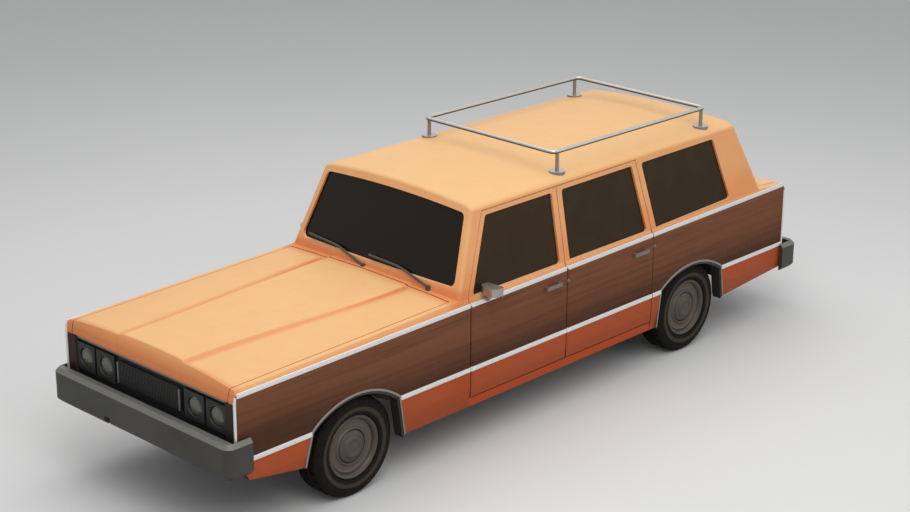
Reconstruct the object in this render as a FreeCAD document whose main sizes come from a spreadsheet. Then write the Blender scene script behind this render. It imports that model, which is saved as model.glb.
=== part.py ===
# Full-size station wagon, built as separate panels, glass, running gear and trim.
# Frame: +X is the car's left side, -Y is its front, +Z is up. Lengths are millimetres.
# The origin is on the ground, under the middle of the car's overall box.

import FreeCAD, Part
import math
import os

import Sketcher

Vector = FreeCAD.Vector

# Driving lengths, each one set by itself
LENGTHS = {
    # Whole car
    "overall_length": 5600,
    "body_width": 1612,
    "wheelbase": 3290,
    "track": 1330,
    "front_bumper_reach": 99,
    "rear_bumper_reach": 155,
    "nose_to_axle": 961,
    "panel_gap": 6,
    "seat_gap": 0.3,
    "overrun": 60,
    # Side walls, from sill to shoulder
    "wall_thickness": 90,
    "sill_z": 300,
    "sill_tuck": 12,
    "sill_turn_z": 430,
    "shoulder_z": 985,
    "shoulder_inset": 25,
    "belt_z": 1045,
    "rocker_top_z": 356,
    "door_bottom_z": 366,
    # Upper cabin shell
    "roof_corner_z": 1592,
    "roof_side_inset": 103,
    "roof_peak_rise": 66,
    "roof_tail_drop": 16,
    "cabin_wall": 42,
    "roof_skin": 32,
    "screen_base_y_back": 894,
    "screen_bow": 24,
    "screen_glass_bottom_z": 1108,
    "screen_glass_top_z": 1546,
    "screen_glass_bottom_half": 716,
    "screen_glass_top_half": 634,
    "screen_glass_crown": 26,
    "tail_deck": 280,
    "tail_bow": 18,
    "tail_glass_bottom_z": 1106,
    "tail_glass_top_z": 1500,
    "tail_glass_bottom_half": 640,
    "tail_glass_top_half": 570,
    "glass_thickness": 6,
    "glass_depth": 16,
    "roof_edge_round": 28,
    "glass_corner_round": 40,
    # Doors and side windows
    "axle_to_door": 980,
    "front_door_length": 925,
    "rear_door_length": 909,
    "door_top_z": 1546,
    "door_edge_slant": 20,
    "window_top_z": 1518,
    "front_window_front": 38,
    "front_window_back": 46,
    "rear_window_front": 46,
    "rear_window_back": 46,
    "quarter_window_front": 50,
    "quarter_window_length": 860,
    "quarter_window_rear_z": 1062,
    "window_round": 22,
    "post_width": 60,
    "post_depth": 36,
    "handle_length": 150,
    "handle_height": 26,
    "handle_reach": 26,
    "handle_below_belt": 112,
    "handle_back": 70,
    "door_front_round": 20,
    "hinge_pin_radius": 8,
    "hinge_pin_reach": 18,
    # Front fenders and bonnet lid
    "nose_shoulder_z": 974,
    "nose_belt_z": 1008,
    "nose_ridge_z": 1042,
    "nose_ridge_half": 285,
    "nose_crown": 10,
    "cowl_ridge_z": 1066,
    "cowl_ridge_half": 370,
    "ridge_step": 9,
    "ridge_width": 16,
    "nose_lean": 52,
    "nose_round": 150,
    "fender_top_flange": 66,
    "hood_thickness": 26,
    "hood_lip_z": 930,
    "hood_lip_thickness": 30,
    "hood_to_screen": 60,
    "hood_back_gap": 12,
    "hood_pin_ahead": 100,
    "hood_pin_z": 1033,
    "hood_well_z": 920,
    "fender_front_z": 578,
    "fender_low_z": 432,
    "fender_low_back": 92,
    # Wheel arches
    "arch_trim_z": 572,
    "front_arch_ahead": 375,
    "front_arch_behind": 339,
    "front_arch_foot_ahead": 437,
    "front_arch_foot_behind": 381,
    "front_arch_foot_z": 358,
    "front_arch_radius": 562,
    "rear_arch_ahead": 358,
    "rear_arch_behind": 332,
    "rear_arch_foot_ahead": 398,
    "rear_arch_foot_behind": 370,
    "rear_arch_foot_z": 326,
    "rear_arch_radius": 605,
    "tail_bottom_z": 378,
    "tail_top_z": 1022,
    # Nose panel, lamps and grille
    "panel_recess": 28,
    "panel_thickness": 26,
    "panel_bottom_z": 640,
    "panel_top_z": 922,
    "lamp_outer_x": 624,
    "lamp_inner_x": 424,
    "lamp_z": 802,
    "bezel_size": 180,
    "bezel_reach": 20,
    "lamp_radius": 72,
    "lamp_depth": 14,
    "grille_half": 290,
    "grille_bottom_z": 736,
    "grille_top_z": 874,
    "grille_bar": 8,
    "grille_frame": 16,
    # Bumpers
    "bumper_half": 846,
    "bumper_round": 60,
    "front_bumper_top_z": 708,
    "front_bumper_bottom_z": 484,
    "front_bumper_wrap": 190,
    "rear_bumper_top_z": 560,
    "rear_bumper_bottom_z": 354,
    "rear_bumper_wrap": 190,
    "bumper_thickness": 62,
    "bumper_side_thickness": 30,
    "bumper_bevel": 24,
    "bumper_recess_half": 265,
    "bumper_recess_height": 18,
    "tow_slot_width": 52,
    "tow_slot_height": 58,
    # Tailgate and lamps
    "tailgate_bottom_z": 582,
    "tailgate_thickness": 46,
    "tailgate_ledge": 22,
    "tailgate_inner_gap": 14,
    "tail_lamp_bottom_z": 640,
    "tail_lamp_height": 300,
    "tail_lamp_width": 62,
    "tail_lamp_depth": 20,
    # Roof rack
    "rack_half": 594,
    "rack_front_behind": 1005,
    "rack_back_ahead": 489,
    "rack_rail_z": 1744,
    "rack_rail_radius": 14,
    "rack_post_radius": 13,
    "rack_foot_radius": 54,
    "rack_foot_height": 13,
    "rack_bend": 36,
    # Wheels and tyres
    "tyre_radius": 330,
    "tyre_width": 205,
    "tread_width": 150,
    "tyre_bead_half": 82,
    "tyre_bulge_radius": 268,
    "rim_radius": 205,
    "rim_width": 168,
    "rim_wall": 13,
    "disc_inner": 40,
    "disc_outer": 54,
    "disc_edge_radius": 168,
    "hub_cap_radius": 108,
    "hub_cap_base": 60,
    "hub_cap_reach": 26,
    "hub_cap_flat": 62,
    "spindle_radius": 26,
    "bore_start": 20,
    "bore_end": 46,
    "hub_boss_radius": 60,
    # Running gear
    "kingpin_inset": 60,
    "kingpin_radius": 22,
    "kingpin_half": 88,
    "drum_radius": 140,
    "drum_inset": 23,
    "arm_thickness": 24,
    "arm_tip_radius": 30,
    "arm_base_half": 120,
    "coil_radius": 50,
    "coil_x": 470,
    "rail_outer_x": 358,
    "rail_width": 84,
    "rail_height": 100,
    "rail_mid_z": 246,
    "rail_front_z": 400,
    "rail_back_z": 452,
    "rail_front_gap": 141,
    "cross_width": 90,
    "cross_height": 50,
    "cross_low_z": 205,
    "bracket_low_z": 486,
    "bracket_height": 64,
    "rail_drop_front": 490,
    "rail_drop_back": 790,
    "rail_kick_front": 412,
    "rail_kick_back": 280,
    "axle_tube_radius": 38,
    "diff_radius": 118,
    "spring_x": 450,
    "spring_width": 60,
    "spring_thickness": 30,
    "spring_half_length": 560,
    "spring_sag": 55,
    "shaft_radius": 34,
    "shaft_front_z": 420,
    "shaft_back_z": 340,
    "exhaust_radius": 23,
    "exhaust_x": 190,
    "exhaust_dip_z": 240,
    "exhaust_tail_z": 322,
    "exhaust_bend": 120,
    "exhaust_dip_ahead": 420,
    "exhaust_dip_half": 240,
    "tank_behind_axle": 450,
    "tank_length": 520,
    "tank_half_width": 250,
    "tank_height": 170,
    # Floor and inner structure
    "floor_z": 346,
    "floor_skin": 20,
    "floor_half": 706,
    "rocker_inner_x": 660,
    "tunnel_half": 120,
    "tunnel_top_z": 480,
    "tunnel_wall": 14,
    "footwell_ahead": 950,
    "bench_floor_z": 440,
    "cargo_front_ahead": 375,
    "tail_sill_z": 556,
    "cargo_floor_z": 600,
    "wheelhouse_radius": 402,
    "wheelhouse_wall": 14,
    "wheelhouse_inner_x": 536,
    "apron_x": 372,
    "apron_wall": 14,
    "apron_bottom_z": 502,
    "apron_top_z": 880,
    "apron_front_back": 190,
    "firewall_wall": 22,
    "radiator_wall": 50,
    # Engine
    "engine_half_width": 230,
    "engine_length": 700,
    "engine_front_back": 360,
    "engine_top_z": 880,
    "gearbox_half_width": 130,
    "gearbox_length": 620,
    "gearbox_height": 260,
    # Cabin furniture
    "dash_depth": 240,
    "dash_top_z": 1030,
    "dash_bottom_z": 800,
    "dash_half": 700,
    "column_x": 350,
    "column_radius": 26,
    "steering_wheel_radius": 190,
    "steering_rim_radius": 13,
    "steering_wheel_back": 490,
    "steering_wheel_z": 965,
    "steering_hub_radius": 42,
    "steering_hub_length": 50,
    "steering_spigot_radius": 12,
    "steering_spoke_radius": 9,
    "column_length": 330,
    "dash_undercut": 60,
    "seat_half_width": 600,
    "cushion_height": 190,
    "front_seat_back": 430,
    "rear_seat_ahead": 990,
    "cushion_length": 460,
    "backrest_height": 500,
    "backrest_thickness": 115,
    "seat_riser_half": 450,
    "seat_riser_inset": 60,
    "backrest_lean": 110,
    "seat_round": 45,
    # Mirrors and wipers
    "mirror_width": 140,
    "mirror_height": 54,
    "mirror_depth": 88,
    "mirror_back": 132,
    "mirror_gap": 14,
    "mirror_inset": 20,
    "mirror_stalk_radius": 12,
    "mirror_stalk_drop": 36,
    "wiper_pivot_x": 520,
    "wiper_far_pivot_x": -70,
    "wiper_span": 560,
    "wiper_rise": 62,
    "wiper_radius": 8,
    "wiper_standoff": 12,
}

# Slopes as run over rise, turns in degrees, and shares of the sizes they follow
SHARES = {
    "screen_slope_share": 0.415,
    "tail_slope_share": 0.466,
    "door_slope_share": 0.43,
    "rear_pillar_slope_share": 0.18,
    "quarter_rear_slope_share": 0.28,
    "roof_corner_share": 0.88,
    "roof_wall_share": 0.062,
    "roof_middle_share": 0.45,
}

ANGLES = {
    "column_tilt": 24,
}

COUNTS = {
    "grille_bar_count": 9,
}

document = FreeCAD.newDocument("StationWagon")
sheet = document.addObject("Spreadsheet::Sheet", "Dims")
SHEET_ROWS = {**LENGTHS, **SHARES, **ANGLES, **COUNTS}
for row, (alias, number) in enumerate(SHEET_ROWS.items(), start=1):
    sheet.set("A%d" % row, alias)
    sheet.set("B%d" % row, str(number))
    sheet.setAlias("B%d" % row, alias)
document.recompute()


class Size:
    """A number worked out from the sheet, kept with the formula that gives it."""

    def __init__(self, formula, number):
        self.formula = formula
        self.number = float(number)

    def __float__(self):
        return self.number

    def __add__(self, other):
        return combine(self, "+", other, self.number + float(other))

    def __radd__(self, other):
        return combine(other, "+", self, float(other) + self.number)

    def __sub__(self, other):
        return combine(self, "-", other, self.number - float(other))

    def __rsub__(self, other):
        return combine(other, "-", self, float(other) - self.number)

    def __mul__(self, other):
        return combine(self, "*", other, self.number * float(other))

    def __rmul__(self, other):
        return combine(other, "*", self, float(other) * self.number)

    def __truediv__(self, other):
        return combine(self, "/", other, self.number / float(other))

    def __neg__(self):
        return Size("(-%s)" % self.formula, -self.number)


def formula_of(value):
    return value.formula if isinstance(value, Size) else repr(float(value))


def combine(left, sign, right, number):
    return Size("(%s %s %s)" % (formula_of(left), sign, formula_of(right)), number)


class Cells:
    """The sheet's cells by name, each one as a Size."""

    def __getattr__(self, alias):
        return Size("Dims." + alias, sheet.get(alias))


dims = Cells()
ZERO = Size("0", 0)
parts = {}


def bind(thing, **values):
    """Ties properties to the sheet."""
    for name, value in values.items():
        thing.setExpression(name.replace("__", "."), formula_of(value))


def origin_plane(body, role):
    for feature in body.Origin.OriginFeatures:
        if feature.Role == role:
            return feature
    raise ValueError(role)


def arc_between(start, end, radius):
    """An anticlockwise arc; a positive radius bulges to the left of the run and swaps its ends."""
    chord = end - start
    half = chord.Length / 2
    side = Vector(-chord.y, chord.x, 0) * (1 / chord.Length)
    lean = 1 if radius > 0 else -1
    rise = math.sqrt(max(radius * radius - half * half, 0))
    centre = start + chord * 0.5 - side * (rise * lean)
    first, last = (end, start) if radius > 0 else (start, end)
    low = math.atan2(first.y - centre.y, first.x - centre.x)
    high = math.atan2(last.y - centre.y, last.x - centre.x)
    if high < low:
        high += math.tau
    circle = Part.Circle(centre, Vector(0, 0, 1), abs(radius))
    return Part.ArcOfCircle(circle, low, high)


def draw(body, name, role, outline):
    """A closed sketch through corners (u, v) or (u, v, radius of the arc that leaves it)."""
    sketch = body.newObject("Sketcher::SketchObject", name)
    sketch.AttachmentSupport = [(origin_plane(body, role), "")]
    sketch.MapMode = "FlatFace"
    corners = [Vector(float(corner[0]), float(corner[1]), 0) for corner in outline]
    count = len(outline)
    reversed_arcs = set()
    for index, corner in enumerate(outline):
        start = corners[index]
        end = corners[(index + 1) % count]
        if len(corner) == 2:
            sketch.addGeometry(Part.LineSegment(start, end), False)
            continue
        sketch.addGeometry(arc_between(start, end, float(corner[2])), False)
        if float(corner[2]) > 0:
            reversed_arcs.add(index)
    for index in range(count):
        after = (index + 1) % count
        end_point = 1 if index in reversed_arcs else 2
        start_point = 2 if after in reversed_arcs else 1
        sketch.addConstraint(Sketcher.Constraint("Coincident", index, end_point, after, start_point))
    for index, corner in enumerate(outline):
        point = 2 if index in reversed_arcs else 1
        for kind, value in (("DistanceX", corner[0]), ("DistanceY", corner[1])):
            rule = Sketcher.Constraint(kind, -1, 1, index, point, float(value))
            number = sketch.addConstraint(rule)
            sketch.setExpression("Constraints[%d]" % number, formula_of(value))
        if len(corner) == 3:
            rule = Sketcher.Constraint("Radius", index, abs(float(corner[2])))
            number = sketch.addConstraint(rule)
            sketch.setExpression("Constraints[%d]" % number, "abs(%s)" % formula_of(corner[2]))
    return sketch


def move(thing, x=ZERO, y=ZERO, z=ZERO):
    """Places a feature by formulas."""
    bind(thing, Placement__Base__x=x, Placement__Base__y=y, Placement__Base__z=z)
    return thing


def padded(name, role, outline, low, high):
    """A body padded between two stations along the normal of an origin plane."""
    body = document.addObject("PartDesign::Body", name)
    sketch = draw(body, name + "_sketch", role, outline)
    pad = body.newObject("PartDesign::Pad", name + "_pad")
    pad.Profile = sketch
    pad.Midplane = True
    bind(pad, Length=high - low)
    middle = (low + high) / 2
    if role == "XY_Plane":
        move(body, z=middle)
    elif role == "XZ_Plane":
        move(body, y=middle)
    else:
        move(body, x=middle)
    return body


def along_x(name, outline, low, high):
    """Side-view outline of (y, z) corners, padded from low to high x."""
    return padded(name, "YZ_Plane", outline, low, high)


def along_y(name, outline, low, high):
    """Front-view outline of (x, z) corners, padded from low to high y."""
    return padded(name, "XZ_Plane", outline, low, high)


def along_z(name, outline, low, high):
    """Plan outline of (x, y) corners, padded from low to high z."""
    return padded(name, "XY_Plane", outline, low, high)


def round_edges(body, radius, wanted):
    """Adds a fillet to the edges of a body's tip that pass a test."""
    document.recompute()
    tip = body.Tip
    names = ["Edge%d" % number for number, edge in enumerate(tip.Shape.Edges, start=1) if wanted(edge)]
    fillet = body.newObject("PartDesign::Fillet", body.Name + "_round")
    fillet.Base = (tip, names)
    bind(fillet, Radius=radius)
    return body


def runs_along(axis):
    """A test for straight edges along a body's own axis."""

    def wanted(edge):
        ends = [vertex.Point for vertex in edge.Vertexes]
        if len(ends) < 2:
            return False
        run = ends[1] - ends[0]
        return run.Length > 0 and abs(run.dot(axis)) > run.Length * 0.9999

    return wanted


def box(name, low, high):
    """A box from its low corner to its high corner."""
    thing = document.addObject("Part::Box", name)
    bind(thing, Length=high[0] - low[0], Width=high[1] - low[1], Height=high[2] - low[2])
    return move(thing, *low)


def cylinder(name, radius, base, direction, length):
    """A round bar from a base point along X, Y or Z."""
    thing = document.addObject("Part::Cylinder", name)
    turns = {"X": (Vector(0, 1, 0), 90), "Y": (Vector(1, 0, 0), -90), "Z": (Vector(0, 0, 1), 0)}
    thing.Placement = FreeCAD.Placement(Vector(0, 0, 0), FreeCAD.Rotation(*turns[direction]))
    bind(thing, Radius=radius, Height=length)
    return move(thing, *base)


def fuse(name, shapes):
    thing = document.addObject("Part::MultiFuse", name)
    thing.Shapes = shapes
    thing.Refine = True
    return thing


def common(name, shapes):
    thing = document.addObject("Part::MultiCommon", name)
    thing.Shapes = shapes
    return thing


def cut(name, base, tool):
    thing = document.addObject("Part::Cut", name)
    thing.Base = base
    thing.Tool = tool
    return thing


def mirror(name, source):
    """The same piece on the car's other side."""
    thing = document.addObject("Part::Mirroring", name)
    thing.Source = source
    thing.Normal = (1, 0, 0)
    thing.Base = (0, 0, 0)
    return thing


def shaped(name, shape):
    """A feature whose shape Part's own functions made from the sheet's sizes."""
    thing = document.addObject("Part::Feature", name)
    thing.Shape = shape
    return thing


def keep(label, thing):
    """Names a finished piece, which becomes a file of its own."""
    thing.Label = label
    parts[label] = thing
    return thing


def revolved(name, outline, place_x, place_y, place_z, side):
    """A body turned about the X axis, from (x, radius) corners, facing out on one side."""
    body = document.addObject("PartDesign::Body", name)
    corners = [(side * corner[0],) + corner[1:] for corner in outline]
    sketch = draw(body, name + "_sketch", "XZ_Plane", corners)
    turn = body.newObject("PartDesign::Revolution", name + "_turn")
    turn.Profile = sketch
    turn.ReferenceAxis = (sketch, ["H_Axis"])
    turn.Angle = 360
    return move(body, place_x, place_y, place_z)


# Stations that several pieces share
HALF = dims.body_width / 2
NOSE_Y = dims.front_bumper_reach - dims.overall_length / 2
TAIL_Y = dims.overall_length / 2 - dims.rear_bumper_reach
FRONT_AXLE_Y = NOSE_Y + dims.nose_to_axle
REAR_AXLE_Y = FRONT_AXLE_Y + dims.wheelbase
WHEEL_X = dims.track / 2
WALL_X = HALF - dims.wall_thickness
BELT_X = HALF - dims.shoulder_inset
DOOR_A_Y = FRONT_AXLE_Y + dims.axle_to_door
DOOR_B_Y = DOOR_A_Y + dims.front_door_length
DOOR_C_Y = DOOR_B_Y + dims.panel_gap
DOOR_D_Y = DOOR_C_Y + dims.rear_door_length
QUARTER_Y = DOOR_D_Y + dims.panel_gap
RACK_FRONT_Y = DOOR_A_Y + dims.rack_front_behind
STEERING_Y = DOOR_A_Y + dims.steering_wheel_back
FRONT_SEAT_Y = DOOR_A_Y + dims.front_seat_back
REAR_SEAT_Y = REAR_AXLE_Y - dims.rear_seat_ahead
SCREEN_Y = FRONT_AXLE_Y + dims.screen_base_y_back
TAIL_SCREEN_Y = TAIL_Y - dims.tail_deck
RACK_BACK_Y = TAIL_SCREEN_Y - dims.rack_back_ahead
HOOD_BACK_Y = SCREEN_Y - dims.hood_to_screen
ROOF_X = BELT_X - dims.roof_side_inset
HINGE_X = HALF - dims.door_front_round
HOOD_PIN_Y = HOOD_BACK_Y - dims.hood_pin_ahead
GATE_PIN_Y = TAIL_Y - dims.door_front_round
GATE_PIN_Z = dims.tailgate_bottom_z + dims.door_front_round
KINGPIN_X = WHEEL_X - dims.kingpin_inset
SIDE_SLOPE = dims.roof_side_inset / (dims.roof_corner_z - dims.belt_z)
FAR = dims.overall_length


def side_x(z):
    """The outer face of the upper cabin's side at a height."""
    return BELT_X - SIDE_SLOPE * (z - dims.belt_z)


def screen_y(z):
    """The outer face of the windscreen's plane at a height."""
    return SCREEN_Y + dims.screen_slope_share * (z - dims.belt_z)


def tail_y(z):
    """The outer face of the tail screen's plane at a height."""
    return TAIL_SCREEN_Y - dims.tail_slope_share * (z - dims.belt_z)


# Upper cabin: one double-curved shell, cut open for every window and door
def roof_section(y, wall, skin, drop, base_z):
    """A closed front-view wire of the cabin at one station."""
    run = float(SIDE_SLOPE)
    corner_z = float(dims.roof_corner_z) - skin - drop
    base = Vector(float(BELT_X) - wall - run * (base_z - float(dims.belt_z)), y, base_z)
    corner_x = float(BELT_X) - wall - run * (corner_z - float(dims.belt_z))
    corner = Vector(corner_x, y, corner_z)
    peak = Vector(0, y, corner_z + float(dims.roof_peak_rise))
    wall_end = corner + (base - corner) * float(dims.roof_wall_share)
    roof_end = peak + (corner - peak) * float(dims.roof_corner_share)

    def flip(point):
        return Vector(-point.x, point.y, point.z)

    def bend(poles):
        curve = Part.BezierCurve()
        curve.setPoles(poles)
        return curve.toShape()

    edges = [
        Part.makeLine(flip(base), base),
        Part.makeLine(base, wall_end),
        bend([wall_end, corner, roof_end]),
        bend([roof_end, peak, flip(roof_end)]),
        bend([flip(roof_end), flip(corner), flip(wall_end)]),
        Part.makeLine(flip(wall_end), flip(base)),
    ]
    return Part.Wire(edges)


def bowed_block(front_y, back_y, bow, tail_bow, slope, tail_slope, base_z, top_z):
    """A block between the two raked screens, each bowed out in plan."""
    half = float(HALF)
    blocks = []
    height = top_z - base_z
    for edge_y, swell, lean, other_y in (
        (front_y, -bow, slope, back_y + float(FAR)),
        (back_y, tail_bow, -tail_slope, front_y - float(FAR)),
    ):
        left = Vector(half, edge_y, base_z)
        right = Vector(-half, edge_y, base_z)
        crest = Vector(0, edge_y + swell, base_z)
        wire = Part.Wire(
            [
                Part.Arc(left, crest, right).toShape(),
                Part.makeLine(right, Vector(-half, other_y, base_z)),
                Part.makeLine(Vector(-half, other_y, base_z), Vector(half, other_y, base_z)),
                Part.makeLine(Vector(half, other_y, base_z), left),
            ]
        )
        blocks.append(Part.Face(wire).extrude(Vector(0, lean * height, height)))
    return blocks[0].common(blocks[1])


def cabin_solid(wall, skin, base_z, rounding):
    """The cabin's outer form, moved in by the wall and the roof skin."""
    front = float(screen_y(dims.belt_z)) + wall * math.hypot(1, float(dims.screen_slope_share))
    back = float(tail_y(dims.belt_z)) - wall * math.hypot(1, float(dims.tail_slope_share))
    shift = base_z - float(dims.belt_z)
    middle_y = front + (back - front) * float(dims.roof_middle_share)
    sections = [
        roof_section(front - float(dims.screen_bow) - float(dims.wall_thickness), wall, skin, 0, base_z),
        roof_section(middle_y, wall, skin, 0, base_z),
        roof_section(back + float(dims.tail_bow) + float(dims.wall_thickness), wall, skin,
                     float(dims.roof_tail_drop), base_z),
    ]
    form = Part.makeLoft(sections, True, False)
    block = bowed_block(
        front + shift * float(dims.screen_slope_share),
        back - shift * float(dims.tail_slope_share),
        float(dims.screen_bow),
        float(dims.tail_bow),
        float(dims.screen_slope_share),
        float(dims.tail_slope_share),
        base_z,
        float(dims.roof_corner_z) + float(dims.roof_peak_rise) + float(dims.overrun),
    )
    form = form.common(block).Solids[0]
    if not rounding:
        return form
    screen_edges = [
        edge
        for edge in form.Edges
        if edge.BoundBox.ZMax > base_z + rounding and edge.BoundBox.YLength < float(dims.tail_deck)
    ]
    return form.makeFillet(rounding, screen_edges)


def screen_opening(bottom_z, top_z, bottom_half, top_half, crown, low_y, high_y, name):
    """A block through a screen's opening, crowned along its top and rounded at its corners."""
    radius = (top_half * top_half + crown * crown) / (crown * 2)
    outline = [
        (-bottom_half, bottom_z),
        (bottom_half, bottom_z),
        (top_half, top_z, -radius),
        (-top_half, top_z),
    ]
    body = along_y(name, outline, low_y, high_y)
    return round_edges(body, dims.glass_corner_round, runs_along(Vector(0, 1, 0)))


def tube(points, radius, bend):
    """A round bar along straight runs joined by tangent arcs."""
    edges = []
    start = points[0]
    for index in range(1, len(points) - 1):
        corner = points[index]
        into = corner - points[index - 1]
        out = points[index + 1] - corner
        into.normalize()
        out.normalize()
        turn = into.getAngle(out)
        reach = bend * math.tan(turn / 2)
        arc_start = corner - into * reach
        arc_end = corner + out * reach
        inward = (out - into) * 0.5
        inward.normalize()
        depth = bend / math.cos(turn / 2) - bend
        edges.append(Part.makeLine(start, arc_start))
        edges.append(Part.Arc(arc_start, corner + inward * depth, arc_end).toShape())
        start = arc_end
    edges.append(Part.makeLine(start, points[-1]))
    path = Part.Wire(edges)
    along = points[1] - points[0]
    ring = Part.Wire(Part.makeCircle(radius, points[0], along))
    return path.makePipeShell([ring], True, False)


def number_vector(x, y, z):
    return Vector(float(x), float(y), float(z))


# The cabin's solid forms, and the blocks that cut its openings
cabin_form = shaped("cabin_form", cabin_solid(0, 0, float(dims.belt_z), float(dims.roof_edge_round)))
cabin_inner = shaped(
    "cabin_inner",
    cabin_solid(float(dims.cabin_wall), float(dims.roof_skin), float(dims.belt_z) - float(dims.overrun), 0),
)
glass_base_z = float(dims.belt_z) - float(dims.overrun)
glass_outer = cabin_solid(float(dims.glass_depth), float(dims.glass_depth), glass_base_z, 0)
glass_inset = float(dims.glass_depth + dims.glass_thickness)
glass_inner = cabin_solid(glass_inset, glass_inset, glass_base_z, 0)
glass_skin = shaped("glass_skin", glass_outer.cut(glass_inner))

windscreen_block = screen_opening(
    dims.screen_glass_bottom_z,
    dims.screen_glass_top_z,
    dims.screen_glass_bottom_half,
    dims.screen_glass_top_half,
    dims.screen_glass_crown,
    SCREEN_Y - dims.wall_thickness,
    screen_y(dims.screen_glass_top_z) + dims.cabin_wall * 2,
    "windscreen_block",
)
tail_screen_block = screen_opening(
    dims.tail_glass_bottom_z,
    dims.tail_glass_top_z,
    dims.tail_glass_bottom_half,
    dims.tail_glass_top_half,
    dims.screen_glass_crown,
    tail_y(dims.tail_glass_top_z) - dims.cabin_wall * 2,
    TAIL_SCREEN_Y + dims.wall_thickness,
    "tail_screen_block",
)


def leaning(y, slope_share, z):
    """A point on an edge that leans back by a slope above the belt."""
    return (y + slope_share * (z - dims.belt_z), z)


def window_block(name, front_y, front_slope, back_y, back_slope, back_z, low_x, high_x):
    """A side window's opening, through the wall."""
    outline = [
        (front_y, dims.belt_z),
        leaning(back_y, back_slope, back_z),
        leaning(back_y, back_slope, dims.window_top_z),
        leaning(front_y, front_slope, dims.window_top_z),
    ]
    return round_edges(along_x(name, outline, low_x, high_x), dims.window_round, runs_along(Vector(1, 0, 0)))


INSIDE_X = ROOF_X - dims.overrun * 2
OUTSIDE_X = HALF + dims.overrun
front_window_block = window_block(
    "front_window_block",
    DOOR_A_Y + dims.front_window_front,
    dims.door_slope_share,
    DOOR_B_Y - dims.front_window_back,
    ZERO,
    dims.belt_z,
    INSIDE_X,
    OUTSIDE_X,
)
rear_window_block = window_block(
    "rear_window_block",
    DOOR_C_Y + dims.rear_window_front,
    ZERO,
    DOOR_D_Y - dims.rear_window_back,
    -dims.rear_pillar_slope_share,
    dims.belt_z,
    INSIDE_X,
    OUTSIDE_X,
)
quarter_window_block = window_block(
    "quarter_window_block",
    QUARTER_Y + dims.quarter_window_front,
    -dims.rear_pillar_slope_share,
    QUARTER_Y + dims.quarter_window_front + dims.quarter_window_length,
    -dims.quarter_rear_slope_share,
    dims.quarter_window_rear_z,
    -OUTSIDE_X,
    OUTSIDE_X,
)
DOOR_TOP_OPEN_Z = dims.door_top_z + dims.panel_gap
door_opening_block = along_x(
    "door_opening_block",
    [
        (DOOR_A_Y - dims.panel_gap, dims.belt_z - dims.overrun),
        (QUARTER_Y, dims.belt_z - dims.overrun),
        (QUARTER_Y, dims.belt_z),
        leaning(QUARTER_Y, -dims.rear_pillar_slope_share, DOOR_TOP_OPEN_Z),
        leaning(DOOR_A_Y - dims.panel_gap, dims.door_slope_share, DOOR_TOP_OPEN_Z),
        (DOOR_A_Y - dims.panel_gap, dims.belt_z),
    ],
    -OUTSIDE_X,
    OUTSIDE_X,
)


# Roof with its pillars and door posts
def door_post(name, middle_y, lean_share, foot_z):
    """A post inside the doors, from the floor's edge up to the roof."""
    half = dims.post_width / 2
    low_x = WALL_X - dims.panel_gap - dims.post_depth
    lower = box(
        name + "_lower",
        (low_x, middle_y - half, foot_z),
        (WALL_X - dims.panel_gap, middle_y + half, dims.belt_z + dims.overrun),
    )
    wall = float(dims.cabin_wall + dims.panel_gap)
    skin = float(dims.roof_skin) - float(dims.glass_thickness)
    base_z = float(dims.belt_z + dims.panel_gap)
    outer = cabin_solid(wall, skin, base_z, 0)
    depth = float(dims.post_depth)
    inner = cabin_solid(wall + depth, skin + depth, base_z - float(dims.overrun), 0)
    band = along_x(
        name + "_band",
        [
            leaning(middle_y - half, -lean_share, dims.belt_z),
            leaning(middle_y + half, -lean_share, dims.belt_z),
            leaning(middle_y + half, -lean_share, dims.roof_corner_z),
            leaning(middle_y - half, -lean_share, dims.roof_corner_z),
        ],
        ROOF_X - dims.overrun * 2,
        OUTSIDE_X,
    )
    upper = common(name + "_upper", [shaped(name + "_skin", outer.cut(inner)), band])
    left = fuse(name + "_left", [lower, upper])
    return [left, mirror(name + "_right", left)]


MIDDLE_POST_Y = (DOOR_B_Y + DOOR_C_Y) / 2
REAR_POST_Y = DOOR_D_Y + dims.panel_gap / 2
posts = door_post("middle_post", MIDDLE_POST_Y, ZERO, dims.floor_z + dims.floor_skin)
posts += door_post(
    "rear_post",
    REAR_POST_Y,
    dims.rear_pillar_slope_share,
    dims.bench_floor_z + dims.floor_skin,
)
cabin_openings = fuse(
    "cabin_openings",
    [cabin_inner, windscreen_block, tail_screen_block, quarter_window_block, door_opening_block],
)
cabin_cut = cut("cabin_cut", cabin_form, cabin_openings)
keep("cabin_shell", fuse("cabin_shell_posts", [cabin_cut] + posts))

# Fixed and door glass, each pane cut from one skin by its own opening
keep(
    "fixed_glass",
    fuse(
        "fixed_glass",
        [
            common("windscreen_pane", [glass_skin, windscreen_block]),
            common("tail_screen_pane", [glass_skin, tail_screen_block]),
            common("quarter_panes", [glass_skin, quarter_window_block]),
        ],
    ),
)
for position, block in (("front", front_window_block), ("rear", rear_window_block)):
    pane = keep("door_glass_%s_left" % position, common("pane_" + position, [glass_skin, block]))
    keep("door_glass_%s_right" % position, mirror("pane_%s_mirrored" % position, pane))


# Side walls: doors, quarter panels and fenders share one section
def wall_x(z):
    """The outer face of the tucked-in sill stretch at a height."""
    return HALF - dims.sill_tuck * (dims.sill_turn_z - z) / (dims.sill_turn_z - dims.sill_z)


def lower_wall(bottom_z):
    """Section corners of the outer wall from its bottom edge up to the belt."""
    return [
        (WALL_X, bottom_z),
        (wall_x(bottom_z), bottom_z),
        (HALF, dims.sill_turn_z),
        (HALF, dims.shoulder_z),
        (BELT_X, dims.belt_z),
    ]


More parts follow.
